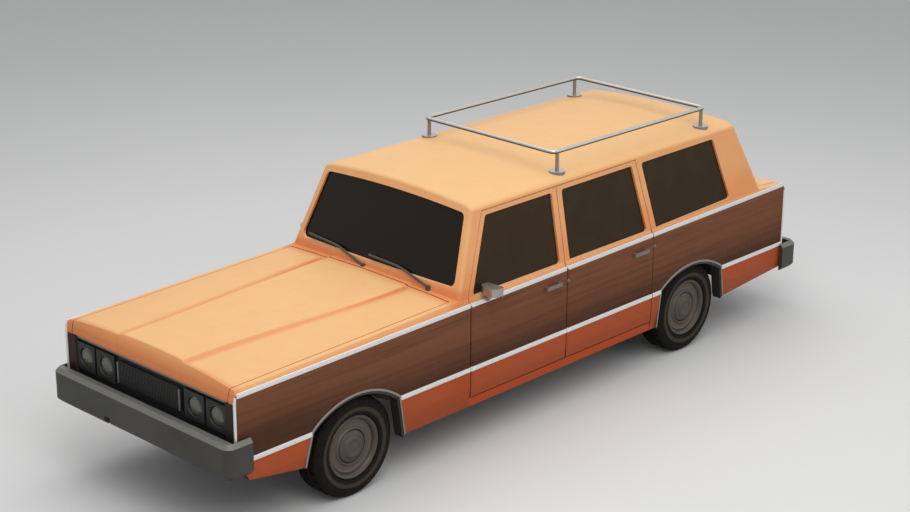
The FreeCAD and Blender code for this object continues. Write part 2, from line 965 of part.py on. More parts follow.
def edge_wedge(name, y, lean_share, base_x, slope, low_z, high_z):
    """What slants a door's rear edge, so that it clears its neighbour as it swings."""
    slant = float(dims.door_edge_slant / dims.wall_thickness)
    depth = float(dims.wall_thickness) * 2
    start = number_vector(base_x, y, low_z)
    corners = [
        start,
        start + Vector(-depth, -depth * slant, 0),
        start + Vector(-depth, depth, 0),
        start + Vector(0, depth, 0),
        start,
    ]
    height = float(high_z) - float(low_z)
    run = Vector(-float(slope) * height, -float(lean_share) * height, height)
    return shaped(name, Part.Face(Part.makePolygon(corners)).extrude(run))


def door(name, front_y, front_slope, back_y, back_lean, window):
    """A whole side door: outer wall, window frame and pull handle."""
    section = lower_wall(dims.door_bottom_z) + [
        (side_x(dims.door_top_z), dims.door_top_z),
        (side_x(dims.door_top_z) - dims.cabin_wall, dims.door_top_z),
        (BELT_X - dims.cabin_wall, dims.belt_z),
        (WALL_X, dims.belt_z),
    ]
    profile = along_y(name + "_profile", section, front_y - dims.overrun, back_y + dims.overrun)
    outline = along_x(
        name + "_outline",
        [
            (front_y, dims.door_bottom_z),
            (back_y, dims.door_bottom_z),
            (back_y, dims.belt_z),
            leaning(back_y, -back_lean, dims.door_top_z),
            leaning(front_y, front_slope, dims.door_top_z),
            (front_y, dims.belt_z),
        ],
        INSIDE_X,
        OUTSIDE_X,
    )
    blank = common(name + "_blank", [profile, outline])
    top_z = dims.door_top_z
    wedges = [
        edge_wedge(name + "_low_wedge", back_y, 0, HALF, 0, dims.door_bottom_z, dims.belt_z),
        edge_wedge(name + "_high_wedge", back_y, back_lean, BELT_X, SIDE_SLOPE, dims.belt_z, top_z),
    ]
    pin_y = front_y + dims.door_front_round
    edge_block = box(
        name + "_edge_block",
        (HINGE_X, front_y - dims.overrun, ZERO),
        (OUTSIDE_X, pin_y, dims.belt_z),
    )
    edge_keep = cylinder(
        name + "_edge_keep",
        dims.door_front_round,
        (HINGE_X, pin_y, ZERO),
        "Z",
        dims.belt_z,
    )
    edge_cut = cut(name + "_edge_cut", edge_block, edge_keep)
    pin_bore = cylinder(
        name + "_pin_bore",
        dims.hinge_pin_radius + dims.seat_gap,
        (HINGE_X, pin_y, dims.sill_z),
        "Z",
        dims.door_bottom_z - dims.sill_z + dims.hinge_pin_reach + dims.seat_gap,
    )
    frame = cut(name + "_frame", blank, fuse(name + "_cuts", [window, edge_cut, pin_bore] + wedges))
    handle_back = back_y - dims.handle_back
    handle_front = handle_back - dims.handle_length
    handle_low = dims.belt_z - dims.handle_below_belt - dims.handle_height
    handle_high = handle_low + dims.handle_height
    grip_x = HALF + dims.handle_reach
    grip = box(
        name + "_grip",
        (grip_x - dims.handle_reach / 2, handle_front, handle_low),
        (grip_x, handle_back, handle_high),
    )
    feet = [
        box(name + "_foot_front", (HALF - dims.handle_reach, handle_front, handle_low),
            (grip_x, handle_front + dims.handle_height, handle_high)),
        box(name + "_foot_back", (HALF - dims.handle_reach, handle_back - dims.handle_height, handle_low),
            (grip_x, handle_back, handle_high)),
    ]
    left = keep("door_%s_left" % name, fuse(name + "_door", [frame, grip] + feet))
    keep("door_%s_right" % name, mirror(name + "_door_mirrored", left))
    return left


front_door = door("front", DOOR_A_Y, dims.door_slope_share, DOOR_B_Y, ZERO, front_window_block)
door("rear", DOOR_C_Y, ZERO, DOOR_D_Y, dims.rear_pillar_slope_share, rear_window_block)

quarter_profile = along_y(
    "quarter_profile", lower_wall(dims.sill_z) + [(WALL_X, dims.belt_z)], QUARTER_Y, TAIL_Y
)
quarter_outline = along_x(
    "quarter_outline",
    [
        (QUARTER_Y, dims.sill_z),
        (REAR_AXLE_Y - dims.rear_arch_foot_ahead, dims.sill_z),
        (REAR_AXLE_Y - dims.rear_arch_ahead, dims.arch_trim_z, dims.rear_arch_radius),
        (REAR_AXLE_Y + dims.rear_arch_behind, dims.arch_trim_z),
        (REAR_AXLE_Y + dims.rear_arch_foot_behind, dims.rear_arch_foot_z),
        (TAIL_Y, dims.tail_bottom_z),
        (TAIL_Y, dims.tail_top_z),
        (TAIL_SCREEN_Y + dims.tail_bow, dims.belt_z),
        (QUARTER_Y, dims.belt_z),
    ],
    INSIDE_X,
    OUTSIDE_X,
)
LAMP_HALF = dims.wall_thickness / 2 - dims.tail_lamp_width / 2
tail_lamp_left = box(
    "tail_lamp_left",
    (WALL_X + LAMP_HALF, TAIL_Y - dims.tail_lamp_depth, dims.tail_lamp_bottom_z),
    (HALF - LAMP_HALF, TAIL_Y, dims.tail_lamp_bottom_z + dims.tail_lamp_height),
)
quarter_blank = common("quarter_blank", [quarter_profile, quarter_outline])
gate_pin = cylinder(
    "gate_pin",
    dims.hinge_pin_radius,
    (WALL_X - dims.panel_gap - dims.hinge_pin_reach, GATE_PIN_Y, GATE_PIN_Z),
    "X",
    dims.panel_gap + dims.hinge_pin_reach * 2,
)
quarter_cut = cut("quarter_cut", quarter_blank, tail_lamp_left)
quarter_left = keep("quarter_panel_left", fuse("quarter_left", [quarter_cut, gate_pin]))
keep("quarter_panel_right", mirror("quarter_right", quarter_left))
keep("tail_lamps", fuse("tail_lamps", [tail_lamp_left, mirror("tail_lamp_right", tail_lamp_left)]))


# Nose: one lofted form gives the fenders, the hood and the cowl their top
def nose_section(y, shoulder_z, belt_z, ridge_half, ridge_z):
    """A closed front-view wire of the car's nose at one station."""
    low = float(dims.sill_z)
    half = float(HALF)
    belt_x = float(BELT_X)
    side = [
        Vector(half, y, shoulder_z),
        Vector(belt_x, y, belt_z),
        Vector(ridge_half + float(dims.ridge_width), y, ridge_z - float(dims.ridge_step)),
        Vector(ridge_half, y, ridge_z),
    ]
    swell_pole = Vector((belt_x + ridge_half) / 2, y, ridge_z - float(dims.ridge_step))

    def curve(start, pole, end):
        bend = Part.BezierCurve()
        bend.setPoles([start, pole, end])
        return bend.toShape()

    def flip(point):
        return Vector(-point.x, point.y, point.z)

    crown = Vector(0, y, ridge_z + float(dims.nose_crown))
    edges = [
        Part.makeLine(Vector(-half, y, low), Vector(half, y, low)),
        Part.makeLine(Vector(half, y, low), side[0]),
        Part.makeLine(side[0], side[1]),
        curve(side[1], swell_pole, side[2]),
        Part.makeLine(side[2], side[3]),
        curve(side[3], crown, flip(side[3])),
        Part.makeLine(flip(side[3]), flip(side[2])),
        curve(flip(side[2]), flip(swell_pole), flip(side[1])),
        Part.makeLine(flip(side[1]), flip(side[0])),
        Part.makeLine(flip(side[0]), Vector(-half, y, low)),
    ]
    return Part.Wire(edges)


nose_loft = Part.makeLoft(
    [
        nose_section(float(NOSE_Y), float(dims.nose_shoulder_z), float(dims.nose_belt_z),
                     float(dims.nose_ridge_half), float(dims.nose_ridge_z)),
        nose_section(float(DOOR_A_Y), float(dims.shoulder_z), float(dims.belt_z),
                     float(dims.cowl_ridge_half), float(dims.cowl_ridge_z)),
    ],
    True,
    True,
)
nose_lean_block = along_x(
    "nose_lean_block",
    [
        (NOSE_Y, ZERO),
        (NOSE_Y, dims.hood_lip_z, dims.nose_round),
        (NOSE_Y + dims.nose_lean, dims.nose_ridge_z + dims.nose_crown),
        (DOOR_B_Y, dims.nose_ridge_z + dims.nose_crown + dims.overrun * 2),
        (DOOR_B_Y, ZERO),
    ],
    -OUTSIDE_X,
    OUTSIDE_X,
)
nose_form = common("nose_form", [shaped("nose_loft", nose_loft), nose_lean_block])
LOWERED = dims.hood_thickness + dims.panel_gap
lowered_loft = nose_loft.copy()
lowered_loft.translate(Vector(0, 0, -float(LOWERED)))
under_loft = nose_loft.copy()
under_loft.translate(Vector(0, 0, -float(dims.hood_thickness)))
HOOD_HALF = HALF - dims.fender_top_flange
HOOD_GAP_X = HOOD_HALF + dims.panel_gap
FENDER_BACK_Y = DOOR_A_Y - dims.panel_gap
fender_outline = along_x(
    "fender_outline",
    [
        (NOSE_Y, dims.fender_front_z),
        (NOSE_Y + dims.fender_low_back, dims.fender_low_z),
        (FRONT_AXLE_Y - dims.front_arch_foot_ahead, dims.front_arch_foot_z),
        (FRONT_AXLE_Y - dims.front_arch_ahead, dims.arch_trim_z, dims.front_arch_radius),
        (FRONT_AXLE_Y + dims.front_arch_behind, dims.arch_trim_z),
        (FRONT_AXLE_Y + dims.front_arch_foot_behind, dims.sill_z),
        (FENDER_BACK_Y, dims.sill_z),
        (FENDER_BACK_Y, dims.belt_z + dims.overrun),
        (NOSE_Y, dims.belt_z + dims.overrun),
    ],
    WALL_X,
    OUTSIDE_X,
)
sill_tuck_cut = along_y(
    "sill_tuck_cut",
    [
        (HALF, dims.sill_turn_z),
        (HALF - dims.sill_tuck, dims.sill_z),
        (HALF - dims.sill_tuck, ZERO),
        (OUTSIDE_X, ZERO),
        (OUTSIDE_X, dims.sill_turn_z),
    ],
    NOSE_Y - dims.overrun,
    DOOR_B_Y,
)
hood_space = box(
    "hood_space",
    (-HOOD_GAP_X, NOSE_Y - dims.overrun, dims.hood_lip_z - dims.overrun),
    (HOOD_GAP_X, HOOD_BACK_Y + dims.hood_back_gap, dims.belt_z + dims.overrun * 2),
)
hood_clearance = cut("hood_clearance", hood_space, shaped("lowered_loft", lowered_loft))
lip_clearance = box(
    "lip_clearance",
    (-HOOD_GAP_X, NOSE_Y - dims.overrun, dims.hood_lip_z - dims.panel_gap),
    (
        HOOD_GAP_X,
        NOSE_Y + dims.nose_lean + dims.hood_lip_thickness + dims.panel_gap,
        dims.belt_z + dims.overrun,
    ),
)
hood_well = box(
    "hood_well",
    (ZERO, HOOD_PIN_Y - dims.door_front_round, dims.hood_well_z),
    (HOOD_GAP_X, HOOD_BACK_Y + dims.hood_back_gap, dims.belt_z + dims.overrun),
)
hood_pin = cylinder(
    "hood_pin",
    dims.hinge_pin_radius,
    (HOOD_HALF - dims.hinge_pin_reach, HOOD_PIN_Y, dims.hood_pin_z),
    "X",
    dims.panel_gap + dims.hinge_pin_reach * 2,
)
fender_blank = common("fender_blank", [nose_form, fender_outline])
fender_cuts = fuse("fender_cuts", [hood_clearance, lip_clearance, hood_well, sill_tuck_cut, cabin_form])
fender_cut = cut("fender_cut", fender_blank, fender_cuts)
fender_left = keep("front_fender_left", fuse("fender_left", [fender_cut, hood_pin]))
keep("front_fender_right", mirror("fender_right", fender_left))

hood_plan = box(
    "hood_plan",
    (-HOOD_HALF, NOSE_Y - dims.overrun, dims.hood_lip_z),
    (HOOD_HALF, HOOD_BACK_Y, dims.belt_z + dims.overrun * 2),
)
hood_blank = common("hood_blank", [nose_form, hood_plan])
hood_under = cut(
    "hood_under",
    shaped("under_loft", under_loft),
    box(
        "hood_lip_keep",
        (-OUTSIDE_X, NOSE_Y - dims.overrun, ZERO),
        (OUTSIDE_X, NOSE_Y + dims.nose_lean + dims.hood_lip_thickness, dims.belt_z + dims.overrun * 2),
    ),
)
hood_bore = cylinder(
    "hood_bore",
    dims.hinge_pin_radius + dims.seat_gap,
    (HOOD_HALF - dims.hinge_pin_reach - dims.seat_gap, HOOD_PIN_Y, dims.hood_pin_z),
    "X",
    dims.hinge_pin_reach + dims.overrun,
)
hood_cuts = fuse("hood_cuts", [hood_under, hood_bore, mirror("hood_bore_right", hood_bore)])
keep("hood", cut("hood", hood_blank, hood_cuts))

cowl_box = box(
    "cowl_box",
    (-WALL_X, HOOD_BACK_Y + dims.hood_back_gap, dims.belt_z - dims.shoulder_inset * 2),
    (WALL_X, DOOR_A_Y - dims.overrun / 2, dims.belt_z + dims.overrun * 2),
)
cowl_panel = keep("cowl_panel", cut("cowl_panel", common("cowl_blank", [cowl_box, nose_form]), cabin_form))

# Engine bay walls, with the wall behind the engine and the radiator support
FIREWALL_Y = DOOR_A_Y - dims.overrun / 2
COWL_LOW_Z = dims.belt_z - dims.shoulder_inset * 2
firewall = box(
    "firewall",
    (-WALL_X, FIREWALL_Y - dims.firewall_wall, dims.floor_z + dims.floor_skin),
    (WALL_X, FIREWALL_Y, COWL_LOW_Z),
)
APRON_FRONT_Y = NOSE_Y + dims.apron_front_back
apron_section = [
    (dims.apron_x, dims.apron_bottom_z),
    (dims.apron_x + dims.apron_wall, dims.apron_bottom_z),
    (dims.apron_x + dims.apron_wall, dims.apron_top_z - dims.apron_wall),
    (WALL_X, dims.apron_top_z - dims.apron_wall),
    (WALL_X, dims.apron_top_z),
    (dims.apron_x, dims.apron_top_z),
]
apron_left = along_y("apron_left", apron_section, APRON_FRONT_Y, FIREWALL_Y - dims.firewall_wall)
radiator = box(
    "radiator",
    (-dims.apron_x, APRON_FRONT_Y, dims.apron_bottom_z),
    (dims.apron_x, APRON_FRONT_Y + dims.radiator_wall, dims.apron_top_z),
)
bay_walls = fuse("bay_walls", [firewall, apron_left, mirror("apron_right", apron_left), radiator])
tunnel_outside = box(
    "tunnel_outside",
    (-dims.tunnel_half, FIREWALL_Y - dims.overrun, ZERO),
    (dims.tunnel_half, FIREWALL_Y + dims.overrun, dims.tunnel_top_z),
)
keep("engine_bay_walls", cut("engine_bay_walls", bay_walls, tunnel_outside))

# Grille panel with four lamp bezels
PANEL_Y = NOSE_Y + dims.panel_recess
panel_plate = box(
    "panel_plate",
    (-WALL_X, PANEL_Y, dims.panel_bottom_z),
    (WALL_X, PANEL_Y + dims.panel_thickness, dims.panel_top_z),
)
BUMPER_BACK_Y = -dims.overall_length / 2 + dims.bumper_thickness
panel_shelf = box(
    "panel_shelf",
    (-WALL_X, BUMPER_BACK_Y, dims.panel_bottom_z),
    (WALL_X, PANEL_Y, dims.panel_bottom_z + dims.panel_thickness),
)
lamp_cuts = []
bezels = []
lamps = []
LAMP_BACK_Y = PANEL_Y + dims.panel_thickness / 2
LAMP_CENTRES = (-dims.lamp_outer_x, -dims.lamp_inner_x, dims.lamp_inner_x, dims.lamp_outer_x)
for place, centre_x in enumerate(LAMP_CENTRES):
    half_bezel = dims.bezel_size / 2
    bezels.append(
        box(
            "bezel_%d" % place,
            (centre_x - half_bezel, PANEL_Y - dims.bezel_reach, dims.lamp_z - half_bezel),
            (centre_x + half_bezel, PANEL_Y, dims.lamp_z + half_bezel),
        )
    )
    lamp_cuts.append(
        cylinder(
            "lamp_cut_%d" % place,
            dims.lamp_radius,
            (centre_x, PANEL_Y - dims.overrun, dims.lamp_z),
            "Y",
            dims.overrun + dims.panel_thickness / 2,
        )
    )
    lamps.append(
        cylinder(
            "lamp_%d" % place,
            dims.lamp_radius,
            (centre_x, LAMP_BACK_Y - dims.lamp_depth, dims.lamp_z),
            "Y",
            dims.lamp_depth,
        )
    )
grille_bars = []
bar_step = (dims.grille_top_z - dims.grille_bottom_z) / dims.grille_bar_count
for place in range(int(float(dims.grille_bar_count)) + 1):
    bar_z = dims.grille_bottom_z + bar_step * place
    grille_bars.append(
        box(
            "grille_bar_%d" % place,
            (-dims.grille_half, PANEL_Y - dims.bezel_reach, bar_z - dims.grille_bar / 2),
            (dims.grille_half, PANEL_Y, bar_z + dims.grille_bar / 2),
        )
    )
for side in (-1, 1):
    low_x = side * dims.grille_half - dims.grille_frame / 2
    grille_bars.append(
        box(
            "grille_end_%s" % ("right" if side < 0 else "left"),
            (low_x, PANEL_Y - dims.bezel_reach, dims.grille_bottom_z),
            (low_x + dims.grille_frame, PANEL_Y, dims.grille_top_z),
        )
    )
panel_solid = fuse("panel_solid", [panel_plate, panel_shelf] + bezels + grille_bars)
keep("grille_panel", cut("grille_panel", panel_solid, fuse("lamp_cuts", lamp_cuts)))
keep("headlamps", fuse("headlamps", lamps))


# Bumpers: a plan-view channel that wraps the corners, with bevelled long edges
def bumper(name, face_y, inward, wrap, low_z, high_z):
    inner_x = dims.bumper_half - dims.bumper_side_thickness
    back_y = face_y + inward * dims.bumper_thickness
    wrap_y = face_y + inward * wrap
    body = along_z(
        name + "_bar",
        [
            (-dims.bumper_half, wrap_y),
            (-dims.bumper_half, face_y),
            (dims.bumper_half, face_y),
            (dims.bumper_half, wrap_y),
            (inner_x, wrap_y),
            (inner_x, back_y),
            (-inner_x, back_y),
            (-inner_x, wrap_y),
        ],
        low_z,
        high_z,
    )
    outer = float(face_y)

    def corner(edge):
        bounds = edge.BoundBox
        upright = bounds.ZLength > float(high_z - low_z) * 0.9
        return upright and abs(bounds.YMin - outer) < 1

    round_edges(body, dims.bumper_round, corner)
    document.recompute()
    tip = body.Tip
    mid = float(high_z - low_z) / 2

    def long_edge(edge):
        bounds = edge.BoundBox
        level = bounds.ZLength < 1 and abs(abs(bounds.Center.z) - mid) < 1
        return level and bounds.XLength > float(dims.bumper_half) and abs(bounds.YMin - outer) < 1

    names = ["Edge%d" % number for number, edge in enumerate(tip.Shape.Edges, start=1) if long_edge(edge)]
    bevel = body.newObject("PartDesign::Chamfer", name + "_bevel")
    bevel.Base = (tip, names)
    bind(bevel, Size=dims.bumper_bevel)
    return body


front_bar = bumper(
    "front_bumper",
    -dims.overall_length / 2,
    1,
    dims.front_bumper_wrap,
    dims.front_bumper_bottom_z,
    dims.front_bumper_top_z,
)
bumper_recess = box(
    "bumper_recess",
    (-dims.bumper_recess_half, -dims.overall_length / 2 - dims.overrun, ZERO),
    (
        dims.bumper_recess_half,
        BUMPER_BACK_Y + dims.overrun,
        dims.front_bumper_bottom_z + dims.bumper_recess_height,
    ),
)
tow_slot = box(
    "tow_slot",
    (
        -dims.bumper_recess_half - dims.tow_slot_width,
        -dims.overall_length / 2 - dims.overrun,
        ZERO,
    ),
    (
        -dims.bumper_recess_half,
        BUMPER_BACK_Y + dims.overrun,
        dims.front_bumper_bottom_z + dims.tow_slot_height,
    ),
)
keep("front_bumper", cut("front_bumper", front_bar, fuse("bumper_cuts", [bumper_recess, tow_slot])))
rear_bar = bumper(
    "rear_bumper",
    dims.overall_length / 2,
    -1,
    dims.rear_bumper_wrap,
    dims.rear_bumper_bottom_z,
    dims.rear_bumper_top_z,
)
keep("rear_bumper", rear_bar)

# Tailgate: an upright panel under a short sloping ledge
LEDGE_Y = TAIL_SCREEN_Y + dims.tail_bow + dims.panel_gap * 2
LEDGE_SLOPE = (dims.belt_z - dims.tail_top_z) / (TAIL_Y - TAIL_SCREEN_Y - dims.tail_bow)
LEDGE_FRONT_Z = dims.tail_top_z + LEDGE_SLOPE * (TAIL_Y - LEDGE_Y)
tailgate = along_x(
    "tailgate_panel",
    [
        (LEDGE_Y, LEDGE_FRONT_Z),
        (LEDGE_Y, LEDGE_FRONT_Z - dims.tailgate_ledge),
        (TAIL_Y - dims.tailgate_thickness, dims.tail_top_z - dims.tailgate_ledge),
        (TAIL_Y - dims.tailgate_thickness, dims.tailgate_bottom_z),
        (TAIL_Y, dims.tailgate_bottom_z),
        (TAIL_Y, dims.tail_top_z),
    ],
    dims.panel_gap - WALL_X,
    WALL_X - dims.panel_gap,
)
gate_edge_block = box(
    "gate_edge_block",
    (-HALF, GATE_PIN_Y, dims.tailgate_bottom_z - dims.overrun),
    (HALF, TAIL_Y + dims.overrun, GATE_PIN_Z),
)
gate_edge_keep = cylinder(
    "gate_edge_keep", dims.door_front_round, (-HALF, GATE_PIN_Y, GATE_PIN_Z), "X", dims.body_width
)
gate_bore = cylinder(
    "gate_bore",
    dims.hinge_pin_radius + dims.seat_gap,
    (WALL_X - dims.panel_gap - dims.hinge_pin_reach - dims.seat_gap, GATE_PIN_Y, GATE_PIN_Z),
    "X",
    dims.hinge_pin_reach + dims.overrun,
)
gate_cuts = fuse(
    "gate_cuts",
    [cut("gate_edge_cut", gate_edge_block, gate_edge_keep), gate_bore, mirror("gate_bore_right", gate_bore)],
)
keep("tailgate", cut("tailgate", tailgate, gate_cuts))

# Roof rack on four feet that sit on the roof's curve
rack_front = float(RACK_FRONT_Y)
rack_back = float(RACK_BACK_Y)
rack_x = float(dims.rack_half)
rail_z = float(dims.rack_rail_z)
rail_low = rail_z - float(dims.roof_tail_drop)
bend = float(dims.rack_bend)
middle = Vector(rack_x, (rack_front + rack_back) / 2, (rail_z + rail_low) / 2)
half_ring = [
    middle,
    Vector(rack_x, rack_back, rail_low),
    Vector(-rack_x, rack_back, rail_low),
    Vector(-middle.x, middle.y, middle.z),
]
front_ring = [
    middle,
    Vector(rack_x, rack_front, rail_z),
    Vector(-rack_x, rack_front, rail_z),
    Vector(-middle.x, middle.y, middle.z),
]
rail_radius = float(dims.rack_rail_radius)
rack_pieces = [
    shaped("rack_rail_back", tube(half_ring, rail_radius, bend)),
    shaped("rack_rail_front", tube(front_ring, rail_radius, bend)),
]
RACK_STATIONS = (
    ("front", RACK_FRONT_Y + dims.rack_bend),
    ("back", RACK_BACK_Y - dims.rack_bend),
)
for end, station_y in RACK_STATIONS:
    for side_name, side in (("left", 1), ("right", -1)):
        post_x = side * dims.rack_half
        top_z = dims.rack_rail_z - (dims.roof_tail_drop if end == "back" else ZERO)
        base_z = dims.roof_corner_z - dims.overrun
        roof_hit = cabin_form.Shape.common(
            Part.makeLine(number_vector(post_x, station_y, base_z), number_vector(post_x, station_y, rail_z))
        )
        foot_z = roof_hit.BoundBox.ZMax + float(dims.rack_foot_height)
        name = "rack_%s_%s" % (end, side_name)
        rack_pieces.append(
            cylinder(name + "_post", dims.rack_post_radius, (post_x, station_y, base_z), "Z", top_z - base_z)
        )
        foot = cylinder(
            name + "_foot",
            dims.rack_foot_radius,
            (post_x, station_y, base_z),
            "Z",
            ZERO + foot_z - base_z,
        )
        rack_pieces.append(foot)
keep("roof_rack", cut("roof_rack", fuse("rack_blank", rack_pieces), cabin_form))


# Wheels and tyres
def road_wheel(position, side_name, centre_y):
    side = 1 if side_name == "left" else -1
    half_rim = dims.rim_width / 2
    cap_edge = dims.hub_cap_base + dims.hub_cap_reach
    rim = [
        (-half_rim, dims.rim_radius),
        (half_rim, dims.rim_radius),
        (half_rim, dims.rim_radius - dims.rim_wall),
        (dims.disc_outer, dims.disc_edge_radius),
        (dims.disc_outer, dims.hub_cap_radius),
        (dims.hub_cap_base, dims.hub_cap_radius),
        (cap_edge, dims.hub_cap_flat),
        (cap_edge, ZERO),
        (dims.bore_end, ZERO),
        (dims.bore_end, dims.spindle_radius + dims.seat_gap),
        (dims.bore_start, dims.spindle_radius + dims.seat_gap),
        (dims.bore_start, dims.hub_boss_radius),
        (dims.disc_inner, dims.hub_boss_radius),
        (dims.disc_inner, dims.disc_edge_radius),
        (dims.disc_inner - dims.rim_wall, dims.rim_radius - dims.rim_wall),
        (-half_rim, dims.rim_radius - dims.rim_wall),
    ]
    bead = dims.rim_radius + dims.seat_gap
    half_tread = dims.tread_width / 2
    half_tyre = dims.tyre_width / 2
    tyre = [
        (-dims.tyre_bead_half, bead),
        (-half_tyre, dims.tyre_bulge_radius),
        (-half_tread, dims.tyre_radius),
        (half_tread, dims.tyre_radius),
        (half_tyre, dims.tyre_bulge_radius),
        (dims.tyre_bead_half, bead),
    ]
    label = "%s_%s" % (position, side_name)
    place = (side * WHEEL_X, centre_y, dims.tyre_radius)
    keep("wheel_" + label, revolved("wheel_" + label, rim, *place, side))
    keep("tyre_" + label, revolved("tyre_" + label, tyre, *place, side))


for position, centre_y in (("front", FRONT_AXLE_Y), ("rear", REAR_AXLE_Y)):
    for side_name in ("left", "right"):
        road_wheel(position, side_name, centre_y)

# Knuckles: kingpin, spindle and brake drum
SPINDLE_END_X = WHEEL_X + dims.bore_end - dims.seat_gap
DRUM_X = WHEEL_X - dims.drum_inset
KINGPIN_FOOT_Z = dims.tyre_radius - dims.kingpin_half
knuckle_left = fuse(
    "knuckle_left",
    [
        cylinder("kingpin", dims.kingpin_radius, (KINGPIN_X, FRONT_AXLE_Y, KINGPIN_FOOT_Z), "Z",
                 dims.kingpin_half * 2),
        cylinder("front_spindle", dims.spindle_radius, (KINGPIN_X, FRONT_AXLE_Y, dims.tyre_radius), "X",
                 SPINDLE_END_X - KINGPIN_X),
        cylinder("front_drum", dims.drum_radius, (DRUM_X, FRONT_AXLE_Y, dims.tyre_radius), "X",
                 WHEEL_X + dims.bore_start - dims.seat_gap - DRUM_X),
    ],
)
keep("knuckle_left", knuckle_left)
keep("knuckle_right", mirror("knuckle_right", knuckle_left))

# Front suspension: crossmember, two arms a side and a coil between them
KINGPIN_LOW_Z = dims.tyre_radius - dims.kingpin_half - dims.seat_gap
KINGPIN_HIGH_Z = dims.tyre_radius + dims.kingpin_half + dims.seat_gap
half_cross = dims.cross_width / 2
crossmember = box(
    "crossmember",
    (-dims.rail_outer_x, FRONT_AXLE_Y - half_cross, dims.cross_low_z),
    (dims.rail_outer_x, FRONT_AXLE_Y + half_cross, dims.rail_front_z),
)
arm_plan = [
    (dims.rail_outer_x, FRONT_AXLE_Y - dims.arm_base_half),
    (dims.rail_outer_x, FRONT_AXLE_Y + dims.arm_base_half),
    (KINGPIN_X, FRONT_AXLE_Y + dims.arm_tip_radius),
    (KINGPIN_X, FRONT_AXLE_Y - dims.arm_tip_radius),
]
suspension = [crossmember]
for level, low_z in (("lower", KINGPIN_LOW_Z - dims.arm_thickness), ("upper", KINGPIN_HIGH_Z)):
    arm = fuse(
        level + "_arm",
        [
            along_z(level + "_arm_plate", arm_plan, low_z, low_z + dims.arm_thickness),
            cylinder(
                level + "_arm_tip",
                dims.arm_tip_radius,
                (KINGPIN_X, FRONT_AXLE_Y, low_z),
                "Z",
                dims.arm_thickness,
            ),
        ],
    )
    suspension += [arm, mirror(level + "_arm_right", arm)]
coil = cylinder("coil_left", dims.coil_radius, (dims.coil_x, FRONT_AXLE_Y, KINGPIN_LOW_Z), "Z",
                KINGPIN_HIGH_Z - KINGPIN_LOW_Z)
suspension += [coil, mirror("coil_right", coil)]
keep("front_suspension", fuse("front_suspension", suspension))

# Ladder frame with a drop under the cabin and a kick over the rear axle
RAIL_FRONT_Y = NOSE_Y + dims.rail_front_gap
RAIL_BACK_Y = dims.overall_length / 2 - dims.bumper_thickness
rail_tops = [
    (RAIL_FRONT_Y, dims.rail_front_z),
    (FRONT_AXLE_Y + dims.rail_drop_front, dims.rail_front_z),
    (FRONT_AXLE_Y + dims.rail_drop_back, dims.rail_mid_z),
    (REAR_AXLE_Y - dims.rail_kick_front, dims.rail_mid_z),
    (REAR_AXLE_Y - dims.rail_kick_back, dims.rail_back_z),
    (RAIL_BACK_Y, dims.rail_back_z),
]
rail_outline = [(y, z) for y, z in rail_tops] + [(y, z + dims.rail_height) for y, z in reversed(rail_tops)]
rail_left = along_x("rail_left", rail_outline, dims.rail_outer_x - dims.rail_width, dims.rail_outer_x)
horn_left = box(
    "bumper_horn_left",
    (dims.rail_outer_x - dims.rail_width, BUMPER_BACK_Y, dims.bracket_low_z),
    (dims.rail_outer_x, RAIL_FRONT_Y + dims.cross_width / 2, dims.bracket_low_z + dims.bracket_height),
)
frame_pieces = [
    rail_left,
    mirror("rail_right", rail_left),
    horn_left,
    mirror("bumper_horn_right", horn_left),
]
cross_low = dims.rail_mid_z
for place, cross_y in enumerate((FRONT_AXLE_Y + dims.rail_drop_back + dims.cross_width, DOOR_C_Y,
                                 REAR_AXLE_Y - dims.rail_kick_front - dims.cross_width)):
    frame_pieces.append(
        box(
            "cross_%d" % place,
            (-dims.rail_outer_x, cross_y - half_cross, cross_low),
            (dims.rail_outer_x, cross_y + half_cross, cross_low + dims.cross_height),
        )
    )
frame_pieces.append(
    box(
        "cross_rear",
        (-dims.rail_outer_x, REAR_AXLE_Y + dims.spring_half_length / 2, dims.rail_back_z),
        (
            dims.rail_outer_x,
            REAR_AXLE_Y + dims.spring_half_length / 2 + dims.cross_width,
            dims.rail_back_z + dims.cross_height,
        ),
    )
)
keep("chassis_frame", fuse("chassis_frame", frame_pieces))

# Rear axle on two leaf springs
half_spring = dims.spring_half_length
spring_radius = (half_spring * half_spring + dims.spring_sag * dims.spring_sag) / (dims.spring_sag * 2)
SPRING_LEVEL = dims.tyre_radius - dims.axle_tube_radius + dims.spring_sag - dims.spring_thickness
leaf_left = along_x(
    "leaf_left",
    [
        (REAR_AXLE_Y - half_spring, SPRING_LEVEL, -spring_radius),
        (REAR_AXLE_Y + half_spring, SPRING_LEVEL),
        (REAR_AXLE_Y + half_spring, SPRING_LEVEL + dims.spring_thickness, spring_radius),
        (REAR_AXLE_Y - half_spring, SPRING_LEVEL + dims.spring_thickness),
    ],
    dims.spring_x - dims.spring_width / 2,
    dims.spring_x + dims.spring_width / 2,
)
eye_half = dims.spring_thickness
shackles = []
for end, eye_y, reach_z in (("front", REAR_AXLE_Y - half_spring, dims.rail_mid_z + dims.rail_height),
                            ("back", REAR_AXLE_Y + half_spring, dims.rail_back_z + dims.rail_height)):
    shackles.append(
        box(
            "shackle_" + end,
            (dims.rail_outer_x, eye_y - eye_half, SPRING_LEVEL),
            (dims.spring_x + dims.spring_width / 2, eye_y + eye_half, reach_z),
        )
    )
spring_left = fuse("spring_left", [leaf_left] + shackles)
keep("leaf_springs", fuse("leaf_springs", [spring_left, mirror("spring_right", spring_left)]))
perch_half = dims.post_width / 3
